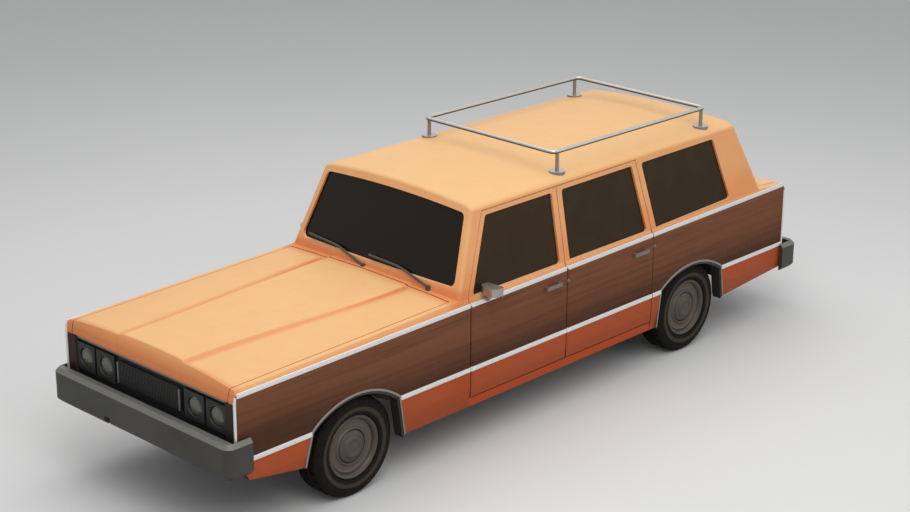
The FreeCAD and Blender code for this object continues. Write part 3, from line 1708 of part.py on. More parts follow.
perch = box(
    "spring_perch",
    (
        dims.spring_x - dims.spring_width / 2,
        REAR_AXLE_Y - perch_half,
        dims.tyre_radius - dims.axle_tube_radius + dims.seat_gap,
    ),
    (dims.spring_x + dims.spring_width / 2, REAR_AXLE_Y + perch_half, dims.tyre_radius),
)
axle_bar = fuse(
    "axle_bar",
    [
        cylinder("axle_tube", dims.axle_tube_radius, (ZERO, REAR_AXLE_Y, dims.tyre_radius), "X", DRUM_X),
        cylinder("rear_drum", dims.drum_radius, (DRUM_X, REAR_AXLE_Y, dims.tyre_radius), "X",
                 WHEEL_X + dims.bore_start - dims.seat_gap - DRUM_X),
        cylinder("rear_spindle", dims.spindle_radius, (DRUM_X, REAR_AXLE_Y, dims.tyre_radius), "X",
                 SPINDLE_END_X - DRUM_X),
        perch,
    ],
)
spring_space = along_x(
    "spring_space",
    [
        (REAR_AXLE_Y - perch_half * 3, dims.tyre_radius - dims.axle_tube_radius * 2),
        (REAR_AXLE_Y + perch_half * 3, dims.tyre_radius - dims.axle_tube_radius * 2),
        (REAR_AXLE_Y + perch_half * 3, dims.tyre_radius - dims.axle_tube_radius + dims.seat_gap),
        (REAR_AXLE_Y - perch_half * 3, dims.tyre_radius - dims.axle_tube_radius + dims.seat_gap),
    ],
    dims.spring_x - dims.spring_width,
    dims.spring_x + dims.spring_width,
)
axle_half = cut("axle_half", axle_bar, spring_space)
differential = document.addObject("Part::Sphere", "differential")
bind(differential, Radius=dims.diff_radius)
move(differential, y=REAR_AXLE_Y, z=dims.tyre_radius)
keep("rear_axle", fuse("rear_axle", [axle_half, mirror("axle_half_right", axle_half), differential]))

# Engine and gearbox as plain blocks, with the shaft to the rear axle
ENGINE_Y = NOSE_Y + dims.engine_front_back
GEARBOX_Y = ENGINE_Y + dims.engine_length
SHAFT_Y = GEARBOX_Y + dims.gearbox_length
GEARBOX_LOW_Z = dims.rail_front_z - dims.cross_height
engine = fuse(
    "engine",
    [
        box(
            "engine_block",
            (-dims.engine_half_width, ENGINE_Y, dims.rail_front_z),
            (dims.engine_half_width, GEARBOX_Y, dims.engine_top_z),
        ),
        box(
            "gearbox",
            (-dims.gearbox_half_width, GEARBOX_Y, GEARBOX_LOW_Z),
            (dims.gearbox_half_width, SHAFT_Y, GEARBOX_LOW_Z + dims.gearbox_height),
        ),
    ],
)
keep("engine", engine)
shaft_start = number_vector(0, SHAFT_Y - dims.shaft_radius, dims.shaft_front_z)
shaft_end = number_vector(0, REAR_AXLE_Y - dims.drum_radius / 2, dims.shaft_back_z)
shaft_run = shaft_end - shaft_start
shaft_bar = Part.makeCylinder(float(dims.shaft_radius), shaft_run.Length, shaft_start, shaft_run)
shaft_seats = fuse("shaft_seats", [engine, differential])
keep("propshaft", cut("propshaft", shaped("shaft_bar", shaft_bar), shaft_seats))

# Exhaust: back from the engine, under the rear axle and out at the tail
exhaust_x = float(dims.exhaust_x)
pipe_radius = float(dims.exhaust_radius)
pipe_z = float(dims.rail_mid_z + dims.cross_height + dims.seat_gap) + pipe_radius
manifold_z = float(dims.shaft_front_z) + pipe_radius
engine_back_y = float(GEARBOX_Y)
pipe_bend = float(dims.exhaust_bend)
ahead_y = float(REAR_AXLE_Y - dims.exhaust_dip_ahead)
under_y = float(dims.exhaust_dip_half)
axle_y = float(REAR_AXLE_Y)
tail_z = float(dims.exhaust_tail_z)
dip_z = float(dims.exhaust_dip_z)
exhaust_points = [
    Vector(exhaust_x, engine_back_y, manifold_z),
    Vector(exhaust_x, engine_back_y + pipe_bend, manifold_z),
    Vector(exhaust_x, engine_back_y + pipe_bend * 3, pipe_z),
    Vector(exhaust_x, ahead_y, pipe_z),
    Vector(exhaust_x, axle_y - under_y, dip_z),
    Vector(exhaust_x, axle_y + under_y, dip_z),
    Vector(exhaust_x, axle_y + under_y * 2, tail_z),
    Vector(exhaust_x, float(TAIL_Y + dims.overrun), tail_z),
]
keep("exhaust", shaped("exhaust", tube(exhaust_points, pipe_radius, pipe_bend)))
CARGO_UNDER_Z = dims.cargo_floor_z - dims.floor_skin
TANK_Y = REAR_AXLE_Y + dims.tank_behind_axle
keep(
    "fuel_tank",
    box(
        "fuel_tank",
        (-dims.tank_half_width, TANK_Y, CARGO_UNDER_Z - dims.tank_height),
        (dims.tank_half_width, TANK_Y + dims.tank_length, CARGO_UNDER_Z),
    ),
)

# Floor: footwell, bench step, cargo deck, tunnel, rockers and rear wheelhouses
FOOTWELL_Z = dims.floor_z + dims.floor_skin
BENCH_Z = dims.bench_floor_z + dims.floor_skin
STEP_Y = REAR_AXLE_Y - dims.footwell_ahead
CARGO_Y = REAR_AXLE_Y - dims.cargo_front_ahead
GATE_Y = TAIL_Y - dims.tailgate_thickness - dims.tailgate_inner_gap
floor_pieces = [
    box("footwell", (-dims.floor_half, FIREWALL_Y, dims.floor_z), (dims.floor_half, STEP_Y, FOOTWELL_Z)),
    box(
        "bench_riser",
        (-dims.floor_half, STEP_Y, dims.floor_z),
        (dims.floor_half, STEP_Y + dims.floor_skin, BENCH_Z),
    ),
    box("bench_floor", (-dims.floor_half, STEP_Y, dims.bench_floor_z), (dims.floor_half, CARGO_Y, BENCH_Z)),
    box(
        "cargo_riser",
        (-dims.floor_half, CARGO_Y, dims.bench_floor_z),
        (dims.floor_half, CARGO_Y + dims.floor_skin, dims.cargo_floor_z),
    ),
    box("cargo_floor", (-WALL_X, CARGO_Y, CARGO_UNDER_Z), (WALL_X, GATE_Y, dims.cargo_floor_z)),
    box(
        "tail_riser",
        (-WALL_X, GATE_Y - dims.floor_skin, dims.tail_sill_z),
        (WALL_X, GATE_Y, dims.cargo_floor_z),
    ),
    box(
        "tail_sill",
        (-WALL_X, GATE_Y - dims.floor_skin, dims.tail_sill_z),
        (WALL_X, TAIL_Y - dims.panel_gap, dims.tail_sill_z + dims.floor_skin),
    ),
]
tunnel = box(
    "tunnel",
    (-dims.tunnel_half, FIREWALL_Y, dims.floor_z),
    (dims.tunnel_half, STEP_Y, dims.tunnel_top_z),
)
TUNNEL_IN_X = dims.tunnel_half - dims.tunnel_wall
tunnel_hollow = fuse(
    "tunnel_hollow",
    [
        box(
            "tunnel_inside",
            (-TUNNEL_IN_X, FIREWALL_Y - dims.overrun, ZERO),
            (TUNNEL_IN_X, STEP_Y, dims.tunnel_top_z - dims.tunnel_wall),
        ),
        box(
            "tunnel_mouth",
            (-TUNNEL_IN_X, STEP_Y, ZERO),
            (TUNNEL_IN_X, STEP_Y + dims.floor_skin, dims.bench_floor_z),
        ),
    ],
)
rocker = box(
    "rocker_left",
    (dims.rocker_inner_x, FENDER_BACK_Y, dims.sill_z),
    (HALF - dims.sill_tuck, QUARTER_Y, dims.rocker_top_z),
)
rocker_pins = []
for name, door_y in (("front", DOOR_A_Y), ("rear", DOOR_C_Y)):
    rocker_pins.append(
        cylinder(
            "hinge_pin_" + name,
            dims.hinge_pin_radius,
            (HINGE_X, door_y + dims.door_front_round, dims.sill_z),
            "Z",
            dims.door_bottom_z - dims.sill_z + dims.hinge_pin_reach,
        )
    )
rocker_left = fuse("rocker_with_pins", [rocker] + rocker_pins)
riser_front = FRONT_SEAT_Y + dims.seat_riser_inset
seat_riser = box(
    "seat_riser",
    (-dims.seat_riser_half, riser_front, dims.floor_z),
    (dims.seat_riser_half, riser_front + dims.cushion_length - dims.seat_riser_inset, BENCH_Z),
)
house_axis = (dims.wheelhouse_inner_x - dims.wheelhouse_wall, REAR_AXLE_Y, dims.tyre_radius)
house_skin = common(
    "house_skin",
    [
        cylinder("house_outer", dims.wheelhouse_radius + dims.wheelhouse_wall, house_axis, "X",
                 WALL_X - dims.wheelhouse_inner_x + dims.wheelhouse_wall),
        box(
            "house_band",
            (ZERO, REAR_AXLE_Y - dims.overall_length / 4, BENCH_Z),
            (HALF, REAR_AXLE_Y + dims.overall_length / 4, dims.belt_z),
        ),
    ],
)
house_hollow = cylinder(
    "house_hollow",
    dims.wheelhouse_radius,
    (dims.wheelhouse_inner_x, REAR_AXLE_Y, dims.tyre_radius),
    "X",
    WALL_X,
)
floor_blank = fuse(
    "floor_blank",
    floor_pieces
    + [tunnel, rocker_left, mirror("rocker_right", rocker_left), seat_riser, house_skin]
    + [mirror("house_right", house_skin)],
)
floor_hollows = fuse(
    "floor_hollows", [tunnel_hollow, house_hollow, mirror("house_hollow_right", house_hollow)]
)
floor_pan = keep("floor_pan", cut("floor_pan", floor_blank, floor_hollows))

# Dashboard with the fixed steering column
column_angle = math.radians(float(dims.column_tilt))
column_run = Vector(0, math.cos(column_angle), math.sin(column_angle))
wheel_centre = number_vector(dims.column_x, STEERING_Y, dims.steering_wheel_z)
hub_length = float(dims.steering_hub_length)
spigot_radius = float(dims.steering_spigot_radius)
hub_base = wheel_centre - column_run * hub_length
column_gap = float(dims.panel_gap)
column_end = hub_base - column_run * column_gap
column_start = wheel_centre - column_run * float(dims.column_length)
column = Part.makeCylinder(
    float(dims.column_radius), (column_end - column_start).Length, column_start, column_run
)
spigot = Part.makeCylinder(spigot_radius, column_gap + hub_length / 2, column_end, column_run)
dash_block = along_x(
    "dash_block",
    [
        (FIREWALL_Y, dims.dash_bottom_z),
        (FIREWALL_Y + dims.dash_depth - dims.dash_undercut, dims.dash_bottom_z),
        (FIREWALL_Y + dims.dash_depth, dims.dash_bottom_z + dims.dash_undercut),
        (FIREWALL_Y + dims.dash_depth - dims.dash_undercut / 2, dims.dash_top_z),
        (FIREWALL_Y, dims.dash_top_z),
    ],
    -dims.dash_half,
    dims.dash_half,
)
keep(
    "dashboard",
    fuse("dashboard", [dash_block, shaped("column", column), shaped("spigot", spigot)]),
)

# Steering wheel: rim, hub and spokes about the column's axis
rim_radius = float(dims.steering_wheel_radius)
rim = Part.makeTorus(rim_radius, float(dims.steering_rim_radius), wheel_centre, column_run)
hub = Part.makeCylinder(float(dims.steering_hub_radius), hub_length, hub_base, column_run)
hub_bore = Part.makeCylinder(spigot_radius + float(dims.seat_gap), hub_length / 2 + column_gap,
                             hub_base - column_run * column_gap, column_run)
spokes = []
up = column_run.cross(Vector(1, 0, 0))
up.normalize()
for direction in (Vector(1, 0, 0), Vector(-1, 0, 0), up):
    spoke_base = wheel_centre - column_run * (hub_length / 4)
    spokes.append(Part.makeCylinder(float(dims.steering_spoke_radius), rim_radius, spoke_base, direction))
steering_wheel = rim.fuse([hub] + spokes).cut(hub_bore)
keep("steering_wheel", shaped("steering_wheel", steering_wheel))


# Bench seats
def bench(name, front_y, clear):
    base_z = BENCH_Z
    cushion_z = base_z + dims.cushion_height
    back_y = front_y + dims.cushion_length
    top_z = cushion_z + dims.backrest_height
    outline = [
        (front_y, base_z),
        (back_y + dims.backrest_thickness, base_z),
        (back_y + dims.backrest_lean + dims.backrest_thickness, top_z),
        (back_y + dims.backrest_lean, top_z),
        (back_y, cushion_z - dims.seat_round / 2),
        (front_y, cushion_z),
    ]
    seat = along_x(name + "_form", outline, -dims.seat_half_width, dims.seat_half_width)
    round_edges(seat, dims.seat_round / 2, runs_along(Vector(1, 0, 0)))
    return keep(name, cut(name, seat, clear))


tunnel_clear = box(
    "tunnel_clear",
    (-dims.tunnel_half - dims.panel_gap, FIREWALL_Y, ZERO),
    (dims.tunnel_half + dims.panel_gap, STEP_Y, dims.tunnel_top_z + dims.panel_gap),
)
bench("front_seat", FRONT_SEAT_Y, tunnel_clear)
bench("rear_seat", REAR_SEAT_Y, floor_pan)

# Door mirrors on short stalks
MIRROR_INNER_X = HALF - dims.mirror_inset
MIRROR_OUTER_X = MIRROR_INNER_X + dims.mirror_width
MIRROR_Y = DOOR_A_Y + dims.mirror_back
MIRROR_FRONT_Y = MIRROR_Y - dims.mirror_depth / 2
MIRROR_Z = dims.belt_z + dims.mirror_gap / 2
head = along_z(
    "mirror_head",
    [
        (MIRROR_INNER_X, MIRROR_Y - dims.mirror_depth / 4),
        (MIRROR_INNER_X + dims.mirror_width / 4, MIRROR_FRONT_Y),
        (MIRROR_OUTER_X - dims.mirror_gap * 2, MIRROR_FRONT_Y),
        (MIRROR_OUTER_X, MIRROR_FRONT_Y + dims.mirror_gap * 2),
        (MIRROR_OUTER_X, MIRROR_Y + dims.mirror_depth / 2),
        (MIRROR_INNER_X, MIRROR_Y + dims.mirror_depth / 2),
    ],
    MIRROR_Z,
    MIRROR_Z + dims.mirror_height,
)
round_edges(head, dims.mirror_gap, runs_along(Vector(0, 0, 1)))
stalk_x = float(HALF + dims.mirror_inset * 2)
stalk_y = float(MIRROR_Y)
stalk_z = float(dims.belt_z - dims.mirror_stalk_drop)
stalk = tube(
    [
        Vector(float(BELT_X - dims.shoulder_inset), stalk_y, stalk_z),
        Vector(stalk_x, stalk_y, stalk_z),
        Vector(stalk_x, stalk_y, float(MIRROR_Z + dims.mirror_gap)),
    ],
    float(dims.mirror_stalk_radius),
    float(dims.mirror_stalk_drop),
)
mirror_blank = fuse("mirror_blank", [head, shaped("mirror_stalk", stalk)])
mirror_left = keep("mirror_left", cut("mirror_left", mirror_blank, front_door))
keep("mirror_right", mirror("mirror_right", mirror_left))


# Wipers parked along the foot of the windscreen
def on_screen(x, z):
    """A point just ahead of the windscreen's bowed outer face."""
    swell = float(dims.screen_bow) * (1 - (x / float(HALF)) ** 2)
    lift = float(dims.wiper_standoff) * math.hypot(1, float(dims.screen_slope_share))
    return Vector(x, float(screen_y(z)) - swell - lift, z)


wiper_pieces = []
wiper_radius = float(dims.wiper_radius)
pivot_z = float(dims.belt_z) + float(dims.wiper_rise) / 2
elbow_z = pivot_z + float(dims.wiper_rise)
for name, pivot_x in (("near", float(dims.wiper_pivot_x)), ("far", float(dims.wiper_far_pivot_x))):
    span = float(dims.wiper_span)
    pivot = on_screen(pivot_x, pivot_z)
    elbow = on_screen(pivot_x - span / 2, elbow_z)
    tip = on_screen(pivot_x - span, elbow_z + wiper_radius)
    post_base = Vector(pivot.x, pivot.y, float(COWL_LOW_Z))
    post_height = pivot.z + wiper_radius - post_base.z
    post = Part.makeCylinder(wiper_radius * 2, post_height, post_base, Vector(0, 0, 1))
    arm = tube([pivot, elbow, tip], wiper_radius, span)
    wiper_pieces += [shaped("wiper_post_" + name, post), shaped("wiper_arm_" + name, arm)]
wiper_seat = fuse("wiper_seat", [cowl_panel, cabin_form])
keep("wipers", cut("wipers", fuse("wiper_blank", wiper_pieces), wiper_seat))

# Check every feature, then write each piece to a file of its own
document.recompute()
for thing in document.Objects:
    if "Invalid" in thing.State or "Error" in thing.State:
        raise RuntimeError("%s is in state %s" % (thing.Label, thing.State))
for label, thing in parts.items():
    if thing.Shape.isNull() or not thing.Shape.isValid():
        raise RuntimeError("%s has no valid shape" % label)
    if not thing.Shape.Solids:
        raise RuntimeError("%s has no solid" % label)
os.makedirs("parts", exist_ok=True)
for label, thing in parts.items():
    thing.Shape.exportStep("parts/%s.step" % label)
    print(label, len(thing.Shape.Solids), round(thing.Shape.Volume / 1e6, 3))
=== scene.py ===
# Looks of a full-size station wagon with timber-look sides, built over its packed model.
# Frame: +X is the car's left side, -Y its front, +Z up, in metres, with the origin on the ground.

import math

import bmesh
import bpy
from mathutils import Matrix, Vector


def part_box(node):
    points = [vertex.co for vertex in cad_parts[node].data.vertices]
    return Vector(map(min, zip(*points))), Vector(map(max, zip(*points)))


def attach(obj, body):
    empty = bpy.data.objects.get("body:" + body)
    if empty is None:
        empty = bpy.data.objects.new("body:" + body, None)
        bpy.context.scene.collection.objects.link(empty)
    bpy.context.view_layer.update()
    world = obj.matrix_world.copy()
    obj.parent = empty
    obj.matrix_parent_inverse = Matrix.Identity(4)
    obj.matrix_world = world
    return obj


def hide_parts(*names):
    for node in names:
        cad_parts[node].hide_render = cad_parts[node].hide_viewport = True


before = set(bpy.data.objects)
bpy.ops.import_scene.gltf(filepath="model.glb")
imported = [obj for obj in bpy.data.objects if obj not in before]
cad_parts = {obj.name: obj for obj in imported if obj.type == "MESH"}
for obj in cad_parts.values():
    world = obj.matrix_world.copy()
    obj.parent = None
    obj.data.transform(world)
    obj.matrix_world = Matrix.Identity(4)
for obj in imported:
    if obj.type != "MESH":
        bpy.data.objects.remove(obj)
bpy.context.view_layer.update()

bl_info = {
    "name": "Station Wagon Looks",
    "version": (1, 0, 0),
    "blender": (4, 5, 0),
    "location": "3D View > Sidebar > Wagon",
    "description": "Trim, tyres, lamps, seats and finishes for the station wagon",
    "category": "Object",
}

# Places that the packed model gives
HALF = 0.806
SHOULDER_Z = 0.985
SHOULDER_SLANT = 0.025 / 0.060
DOOR_ROUND = 0.020
NOSE_Y = -2.701
PANEL_Y = -2.673
TAIL_Y = 2.645
AXLE_Y = {"front": -1.740, "rear": 1.550}
WHEEL_X = 0.665
TYRE_RADIUS = 0.330
WHEEL_CENTRE = Vector((WHEEL_X, AXLE_Y["front"], TYRE_RADIUS))
SIDES = (("left", 1), ("right", -1))

LEFTWARD, FORWARD, BACKWARD, UPWARD = (1, 0, 0), (0, -1, 0), (0, 1, 0), (0, 0, 1)
BLACK, WHITE = (0, 0, 0, 1), (1, 1, 1, 1)


# Settings

COLOUR = {"subtype": "COLOR", "size": 4, "min": 0, "max": 1}


class WagonPaint(bpy.types.PropertyGroup):
    """Colours of the finishes."""

    body: bpy.props.FloatVectorProperty(
        name="Body", description="Paint on the upright panels", default=(0.74, 0.205, 0.062, 1), **COLOUR)
    # The faded colour is partly sun-bleached paint and partly painted light on the faces that look up.
    faded: bpy.props.FloatVectorProperty(
        name="Faded body", description="Sun-bleached paint on the faces that look up",
        default=(0.90, 0.535, 0.245, 1), **COLOUR)
    inner: bpy.props.FloatVectorProperty(
        name="Inner faces", description="Trim inside the doors and coat inside the arches",
        default=(0.060, 0.036, 0.024, 1), **COLOUR)
    lower: bpy.props.FloatVectorProperty(
        name="Lower body", description="Paint under the lower side strip", default=(0.42, 0.068, 0.014, 1),
        **COLOUR)
    timber: bpy.props.FloatVectorProperty(
        name="Timber", description="Lighter grain of the timber-look film", default=(0.190, 0.070, 0.033, 1),
        **COLOUR)
    # The dark timber colour is also the painted shade at the timber's foot and in the doors' gaps.
    timber_dark: bpy.props.FloatVectorProperty(
        name="Dark timber", description="Darker grain of the timber-look film",
        default=(0.034, 0.0120, 0.0060, 1), **COLOUR)
    bright: bpy.props.FloatVectorProperty(
        name="Bright metal", description="Strips along the sides and round the tailgate",
        default=(0.78, 0.765, 0.75, 1), **COLOUR)
    bumper: bpy.props.FloatVectorProperty(
        name="Bumper", description="Dull metal of both bumpers", default=(0.020, 0.0185, 0.0130, 1), **COLOUR)
    glass: bpy.props.FloatVectorProperty(
        name="Glass", description="Tint of the windows", default=(0.050, 0.0310, 0.0150, 1), **COLOUR)
    leather: bpy.props.FloatVectorProperty(
        name="Leather", description="Seat covers", default=(0.16, 0.075, 0.040, 1), **COLOUR)


class WagonTrim(bpy.types.PropertyGroup):
    """Sizes of the side strips."""

    strip_height: bpy.props.FloatProperty(
        name="Strip height", description="Height of a side strip", unit="LENGTH", default=0.031, min=0.004)
    strip_reach: bpy.props.FloatProperty(
        name="Strip reach", description="How far a side strip stands off the panel", unit="LENGTH",
        default=0.007, min=0.001)
    upper_z: bpy.props.FloatProperty(
        name="Upper strip height", description="Height of the upper strip at the nose", unit="LENGTH",
        default=0.983)
    upper_rise: bpy.props.FloatProperty(
        name="Upper strip rise", description="Rise of the upper strip for each metre towards the tail",
        default=0.00748)
    lower_z: bpy.props.FloatProperty(
        name="Lower strip height", description="Height of the lower strip", unit="LENGTH", default=0.562)


class WagonTyre(bpy.types.PropertyGroup):
    """Sizes of the tyres' tread."""

    segments: bpy.props.IntProperty(
        name="Segments", description="Tread blocks round a tyre, four faces each", default=30, min=12)
    groove: bpy.props.FloatProperty(
        name="Groove depth", description="Depth of the tread grooves", unit="LENGTH", default=0.007,
        min=0.001)


class WagonStage(bpy.types.PropertyGroup):
    """Camera, floor and light."""

    camera_place: bpy.props.FloatVectorProperty(
        name="Camera place", description="Where the camera stands", subtype="TRANSLATION", unit="LENGTH",
        size=3, default=(8.806, -9.247, 5.557))
    heading: bpy.props.FloatProperty(
        name="Heading", description="Direction of view, turned from +X", subtype="ANGLE",
        default=math.radians(133.821))
    pitch: bpy.props.FloatProperty(
        name="Pitch", description="Downward tilt of the view", subtype="ANGLE", default=math.radians(19.916))
    roll: bpy.props.FloatProperty(
        name="Roll", description="Roll of the view", subtype="ANGLE", default=math.radians(0.307))
    lens: bpy.props.FloatProperty(
        name="Lens", description="Focal length on a 36 mm sensor, in millimetres", default=78.51, min=1)
    floor_colour: bpy.props.FloatVectorProperty(
        name="Floor", description="Colour of the floor", default=(0.80, 0.80, 0.79, 1), **COLOUR)


SETTINGS = (
    ("wagon_paint", WagonPaint),
    ("wagon_trim", WagonTrim),
    ("wagon_tyre", WagonTyre),
    ("wagon_stage", WagonStage),
)


# Modelling by hand, in code

def clear_selection():
    """Leaves edit mode and deselects all."""
    active = bpy.context.view_layer.objects.active
    if active is not None and active.mode != "OBJECT":
        bpy.ops.object.mode_set(mode="OBJECT")
    bpy.ops.object.select_all(action="DESELECT")


def take(piece):
    """Makes a piece the only one selected, and the active one."""
    clear_selection()
    piece.select_set(True)
    bpy.context.view_layer.objects.active = piece


def named(name):
    """Names the piece just added."""
    piece = bpy.context.object
    piece.name = name
    piece.data.name = name
    return piece


def settle():
    """Puts the active piece's place, turn and scale into its mesh."""
    bpy.ops.object.transform_apply(location=True, rotation=True, scale=True)


def edit(kind="FACE"):
    """Enters edit mode with everything selected."""
    bpy.ops.object.mode_set(mode="EDIT")
    bpy.ops.mesh.select_mode(type=kind)
    bpy.ops.mesh.select_all(action="SELECT")


def choose_faces(test):
    """Selects the faces that pass a test of their middle and normal."""
    bpy.ops.mesh.select_mode(type="FACE")
    bpy.ops.mesh.select_all(action="DESELECT")
    mesh = bpy.context.object.data
    for face in bmesh.from_edit_mesh(mesh).faces:
        if test(face.calc_center_median(), face.normal):
            face.select_set(True)
    bmesh.update_edit_mesh(mesh)


def choose_edges(test):
    """Selects the edges that pass a test of their two ends."""
    bpy.ops.mesh.select_mode(type="EDGE")
    bpy.ops.mesh.select_all(action="DESELECT")
    mesh = bpy.context.object.data
    for edge in bmesh.from_edit_mesh(mesh).edges:
        if test(edge.verts[0].co, edge.verts[1].co):
            edge.select_set(True)
    bmesh.update_edit_mesh(mesh)


def grow(step):
    """Extrudes what is selected by a step."""
    bpy.ops.mesh.extrude_region_move(TRANSFORM_OT_translate={"value": tuple(step)})


def close_up(smooth=40):
    """Points the faces outwards, leaves edit mode and smooths the shading up to an angle in degrees."""
    bpy.ops.mesh.select_all(action="SELECT")
    bpy.ops.mesh.remove_doubles(threshold=0.00005)
    bpy.ops.mesh.normals_make_consistent(inside=False)
    bpy.ops.object.mode_set(mode="OBJECT")
    settle()
    bpy.ops.object.shade_smooth_by_angle(angle=math.radians(smooth))
    return bpy.context.object


def apply_modifier(kind, **values):
    """Adds a modifier to the active piece and applies it."""
    bpy.ops.object.modifier_add(type=kind)
    modifier = bpy.context.object.modifiers[-1]
    for name, value in values.items():
        setattr(modifier, name, value)
    bpy.ops.object.modifier_apply(modifier=modifier.name)


def copied(piece, name, step=(0, 0, 0), mirrored=False):
    """A copy with a mesh of its own, moved by a step and, if asked, mirrored to the other side."""
    take(piece)
    bpy.ops.object.duplicate(linked=False)
    twin = named(name)
    twin.parent = None
    twin.location = step
    if mirrored:
        twin.scale = (-1, 1, 1)
    settle()
    if mirrored:
        edit()
        bpy.ops.mesh.normals_make_consistent(inside=False)
        bpy.ops.object.mode_set(mode="OBJECT")
    return twin


def strip_along(name, size, points, bevel=0.3):
    """A moulding: a small face across the first point, grown through the others, with its edges bevelled."""
    clear_selection()
    points = [Vector(point) for point in points]
    runs = [there - here for here, there in zip(points, points[1:])]
    turn = runs[0].normalized().to_track_quat("Z", "Y").to_euler()
    bpy.ops.mesh.primitive_plane_add(size=1, location=points[0], rotation=turn)
    named(name).scale = (size[0], size[1], 1)
    settle()
    edit()
    for run in runs:
        grow(run)
    if bevel:
        shortest = max(min(run.length for run in runs) * 0.6, max(size) * 1.3)
        choose_edges(lambda a, b: (a - b).length > shortest)
        bpy.ops.mesh.bevel(offset=min(size) * bevel, segments=2, affect="EDGES")
    return close_up(50)


def turned(name, centre, rings, count, ahead=LEFTWARD, closed=False, smooth=35):
    """A turned piece: a circle grown ring by ring, each one (distance ahead, radius)."""
    clear_selection()
    ahead, centre = Vector(ahead), Vector(centre)
    tip_radius, near = 0.00002, 0.0004
    first_way, first_radius = way, radius = rings[0]
    bpy.ops.mesh.primitive_circle_add(vertices=count, radius=radius, location=centre + ahead * way,
                                      rotation=ahead.to_track_quat("Z", "Y").to_euler())
    named(name)
    settle()
    edit("EDGE")
    if not closed:
        bpy.ops.mesh.edge_face_add()
        choose_edges(lambda a, b: True)
    for next_way, next_radius in rings[1:]:
        next_radius = max(next_radius, tip_radius)
        grow(ahead * (next_way - way))
        bpy.ops.transform.resize(value=(next_radius / radius,) * 3, center_override=centre + ahead * next_way)
        way, radius = next_way, next_radius
    if closed:
        ends = ((centre + ahead * first_way, first_radius), (centre + ahead * way, radius))

        def on_ring(point, middle, size):
            out = point - middle
            return abs(out.length - size) < near and abs(out.dot(ahead)) < near

        choose_edges(lambda a, b: any(on_ring(a, *end) and on_ring(b, *end) for end in ends))
        bpy.ops.mesh.bridge_edge_loops()
    else:
        bpy.ops.mesh.edge_face_add()
    return close_up(smooth)


def block(name, low, high, bevel, taper, segments=2):
    """A box shaped from a cube: one face tapered by an inset and a rise, and its edges bevelled."""
    clear_selection()
    low, high = Vector(low), Vector(high)
    bpy.ops.mesh.primitive_cube_add(size=1, location=(low + high) / 2)
    named(name).scale = high - low
    settle()
    edit()
    direction, inset, rise = taper
    choose_faces(lambda middle, normal: normal.dot(Vector(direction)) > 0.9)
    bpy.ops.mesh.inset(thickness=inset, depth=rise)
    choose_edges(lambda a, b: True)
    bpy.ops.mesh.bevel(offset=bevel, segments=segments, affect="EDGES")
    return close_up()


# Node trees

def put(socket, value):
    """Links a field to a socket, or sets the socket's own value."""
    if isinstance(value, Field):
        value.tree.links.new(value.socket, socket)
    else:
        socket.default_value = value


class Field:
    """A number or colour that changes over a surface. Arithmetic on it adds nodes to its tree."""

    def __init__(self, tree, socket):
        self.tree = tree
        self.socket = socket

    def worked(self, operation, other=0.0, swapped=False):
        """A Math node's result, with this field first or, if swapped, second."""
        node = self.tree.nodes.new("ShaderNodeMath")
        node.operation = operation
        put(node.inputs[int(swapped)], self)
        put(node.inputs[int(not swapped)], other)
        return Field(self.tree, node.outputs[0])

    def __add__(self, other):
        return self.worked("ADD", other)

    def __sub__(self, other):
        return self.worked("SUBTRACT", other)

    def __rsub__(self, other):
        return self.worked("SUBTRACT", other, swapped=True)

    def __mul__(self, other):
        return self.worked("MULTIPLY", other)

    def __gt__(self, other):
        return self.worked("GREATER_THAN", other)

    def __lt__(self, other):
        return self.worked("LESS_THAN", other)

    def __abs__(self):
        return self.worked("ABSOLUTE")

    def or_more(self, other):
        return self.worked("MAXIMUM", other)

    def or_less(self, other):
        return self.worked("MINIMUM", other)

    def graded(self, low, high, start=0.0, end=1.0, smooth=True):
        """This field's range from low to high, turned into start to end and held there."""
        node = self.tree.nodes.new("ShaderNodeMapRange")
        node.interpolation_type = "SMOOTHSTEP" if smooth else "LINEAR"
        for socket, value in zip(node.inputs, (self, low, high, start, end)):
            put(socket, value)
        return Field(self.tree, node.outputs[0])

    def blend(self, first, second):
        """The first colour where this field is 0, the second where it is 1."""
        node = self.tree.nodes.new("ShaderNodeMix")
        node.data_type = "RGBA"
        for number, value in ((0, self), (6, first), (7, second)):
            put(node.inputs[number], value)
        return Field(self.tree, node.outputs[2])

    def shading(self, tint):
        """A colour made lighter or darker by this field."""
        node = self.tree.nodes.new("ShaderNodeVectorMath")
        node.operation = "SCALE"
        put(node.inputs[0], tint)
        put(node.inputs["Scale"], self)
        return Field(self.tree, node.outputs[0])


def coordinates(tree, kind="Object"):
    """One of Texture Coordinate's outputs."""
    return Field(tree, tree.nodes.new("ShaderNodeTexCoord").outputs[kind])


def axes_of(tree, kind="Object"):
    """The three parts of one of Texture Coordinate's outputs."""
    parts = tree.nodes.new("ShaderNodeSeparateXYZ")
    put(parts.inputs[0], coordinates(tree, kind))
    return [Field(tree, part) for part in parts.outputs]


def cloudy(tree, scale, detail=4.0, rough=0.55, stretch=None, warp=0.0):
    """Noise on Object coordinates, stretched if asked."""
    where = coordinates(tree)
    if stretch:
        mapping = tree.nodes.new("ShaderNodeMapping")
        mapping.inputs["Scale"].default_value = stretch
        put(mapping.inputs["Vector"], where)
        where = Field(tree, mapping.outputs["Vector"])
    noise = tree.nodes.new("ShaderNodeTexNoise")
    for label, value in (("Vector", where), ("Scale", scale), ("Detail", detail), ("Roughness", rough),
                         ("Distortion", warp)):
        put(noise.inputs[label], value)
    return Field(tree, noise.outputs["Fac"])


# Effects that several finishes share, each a node group

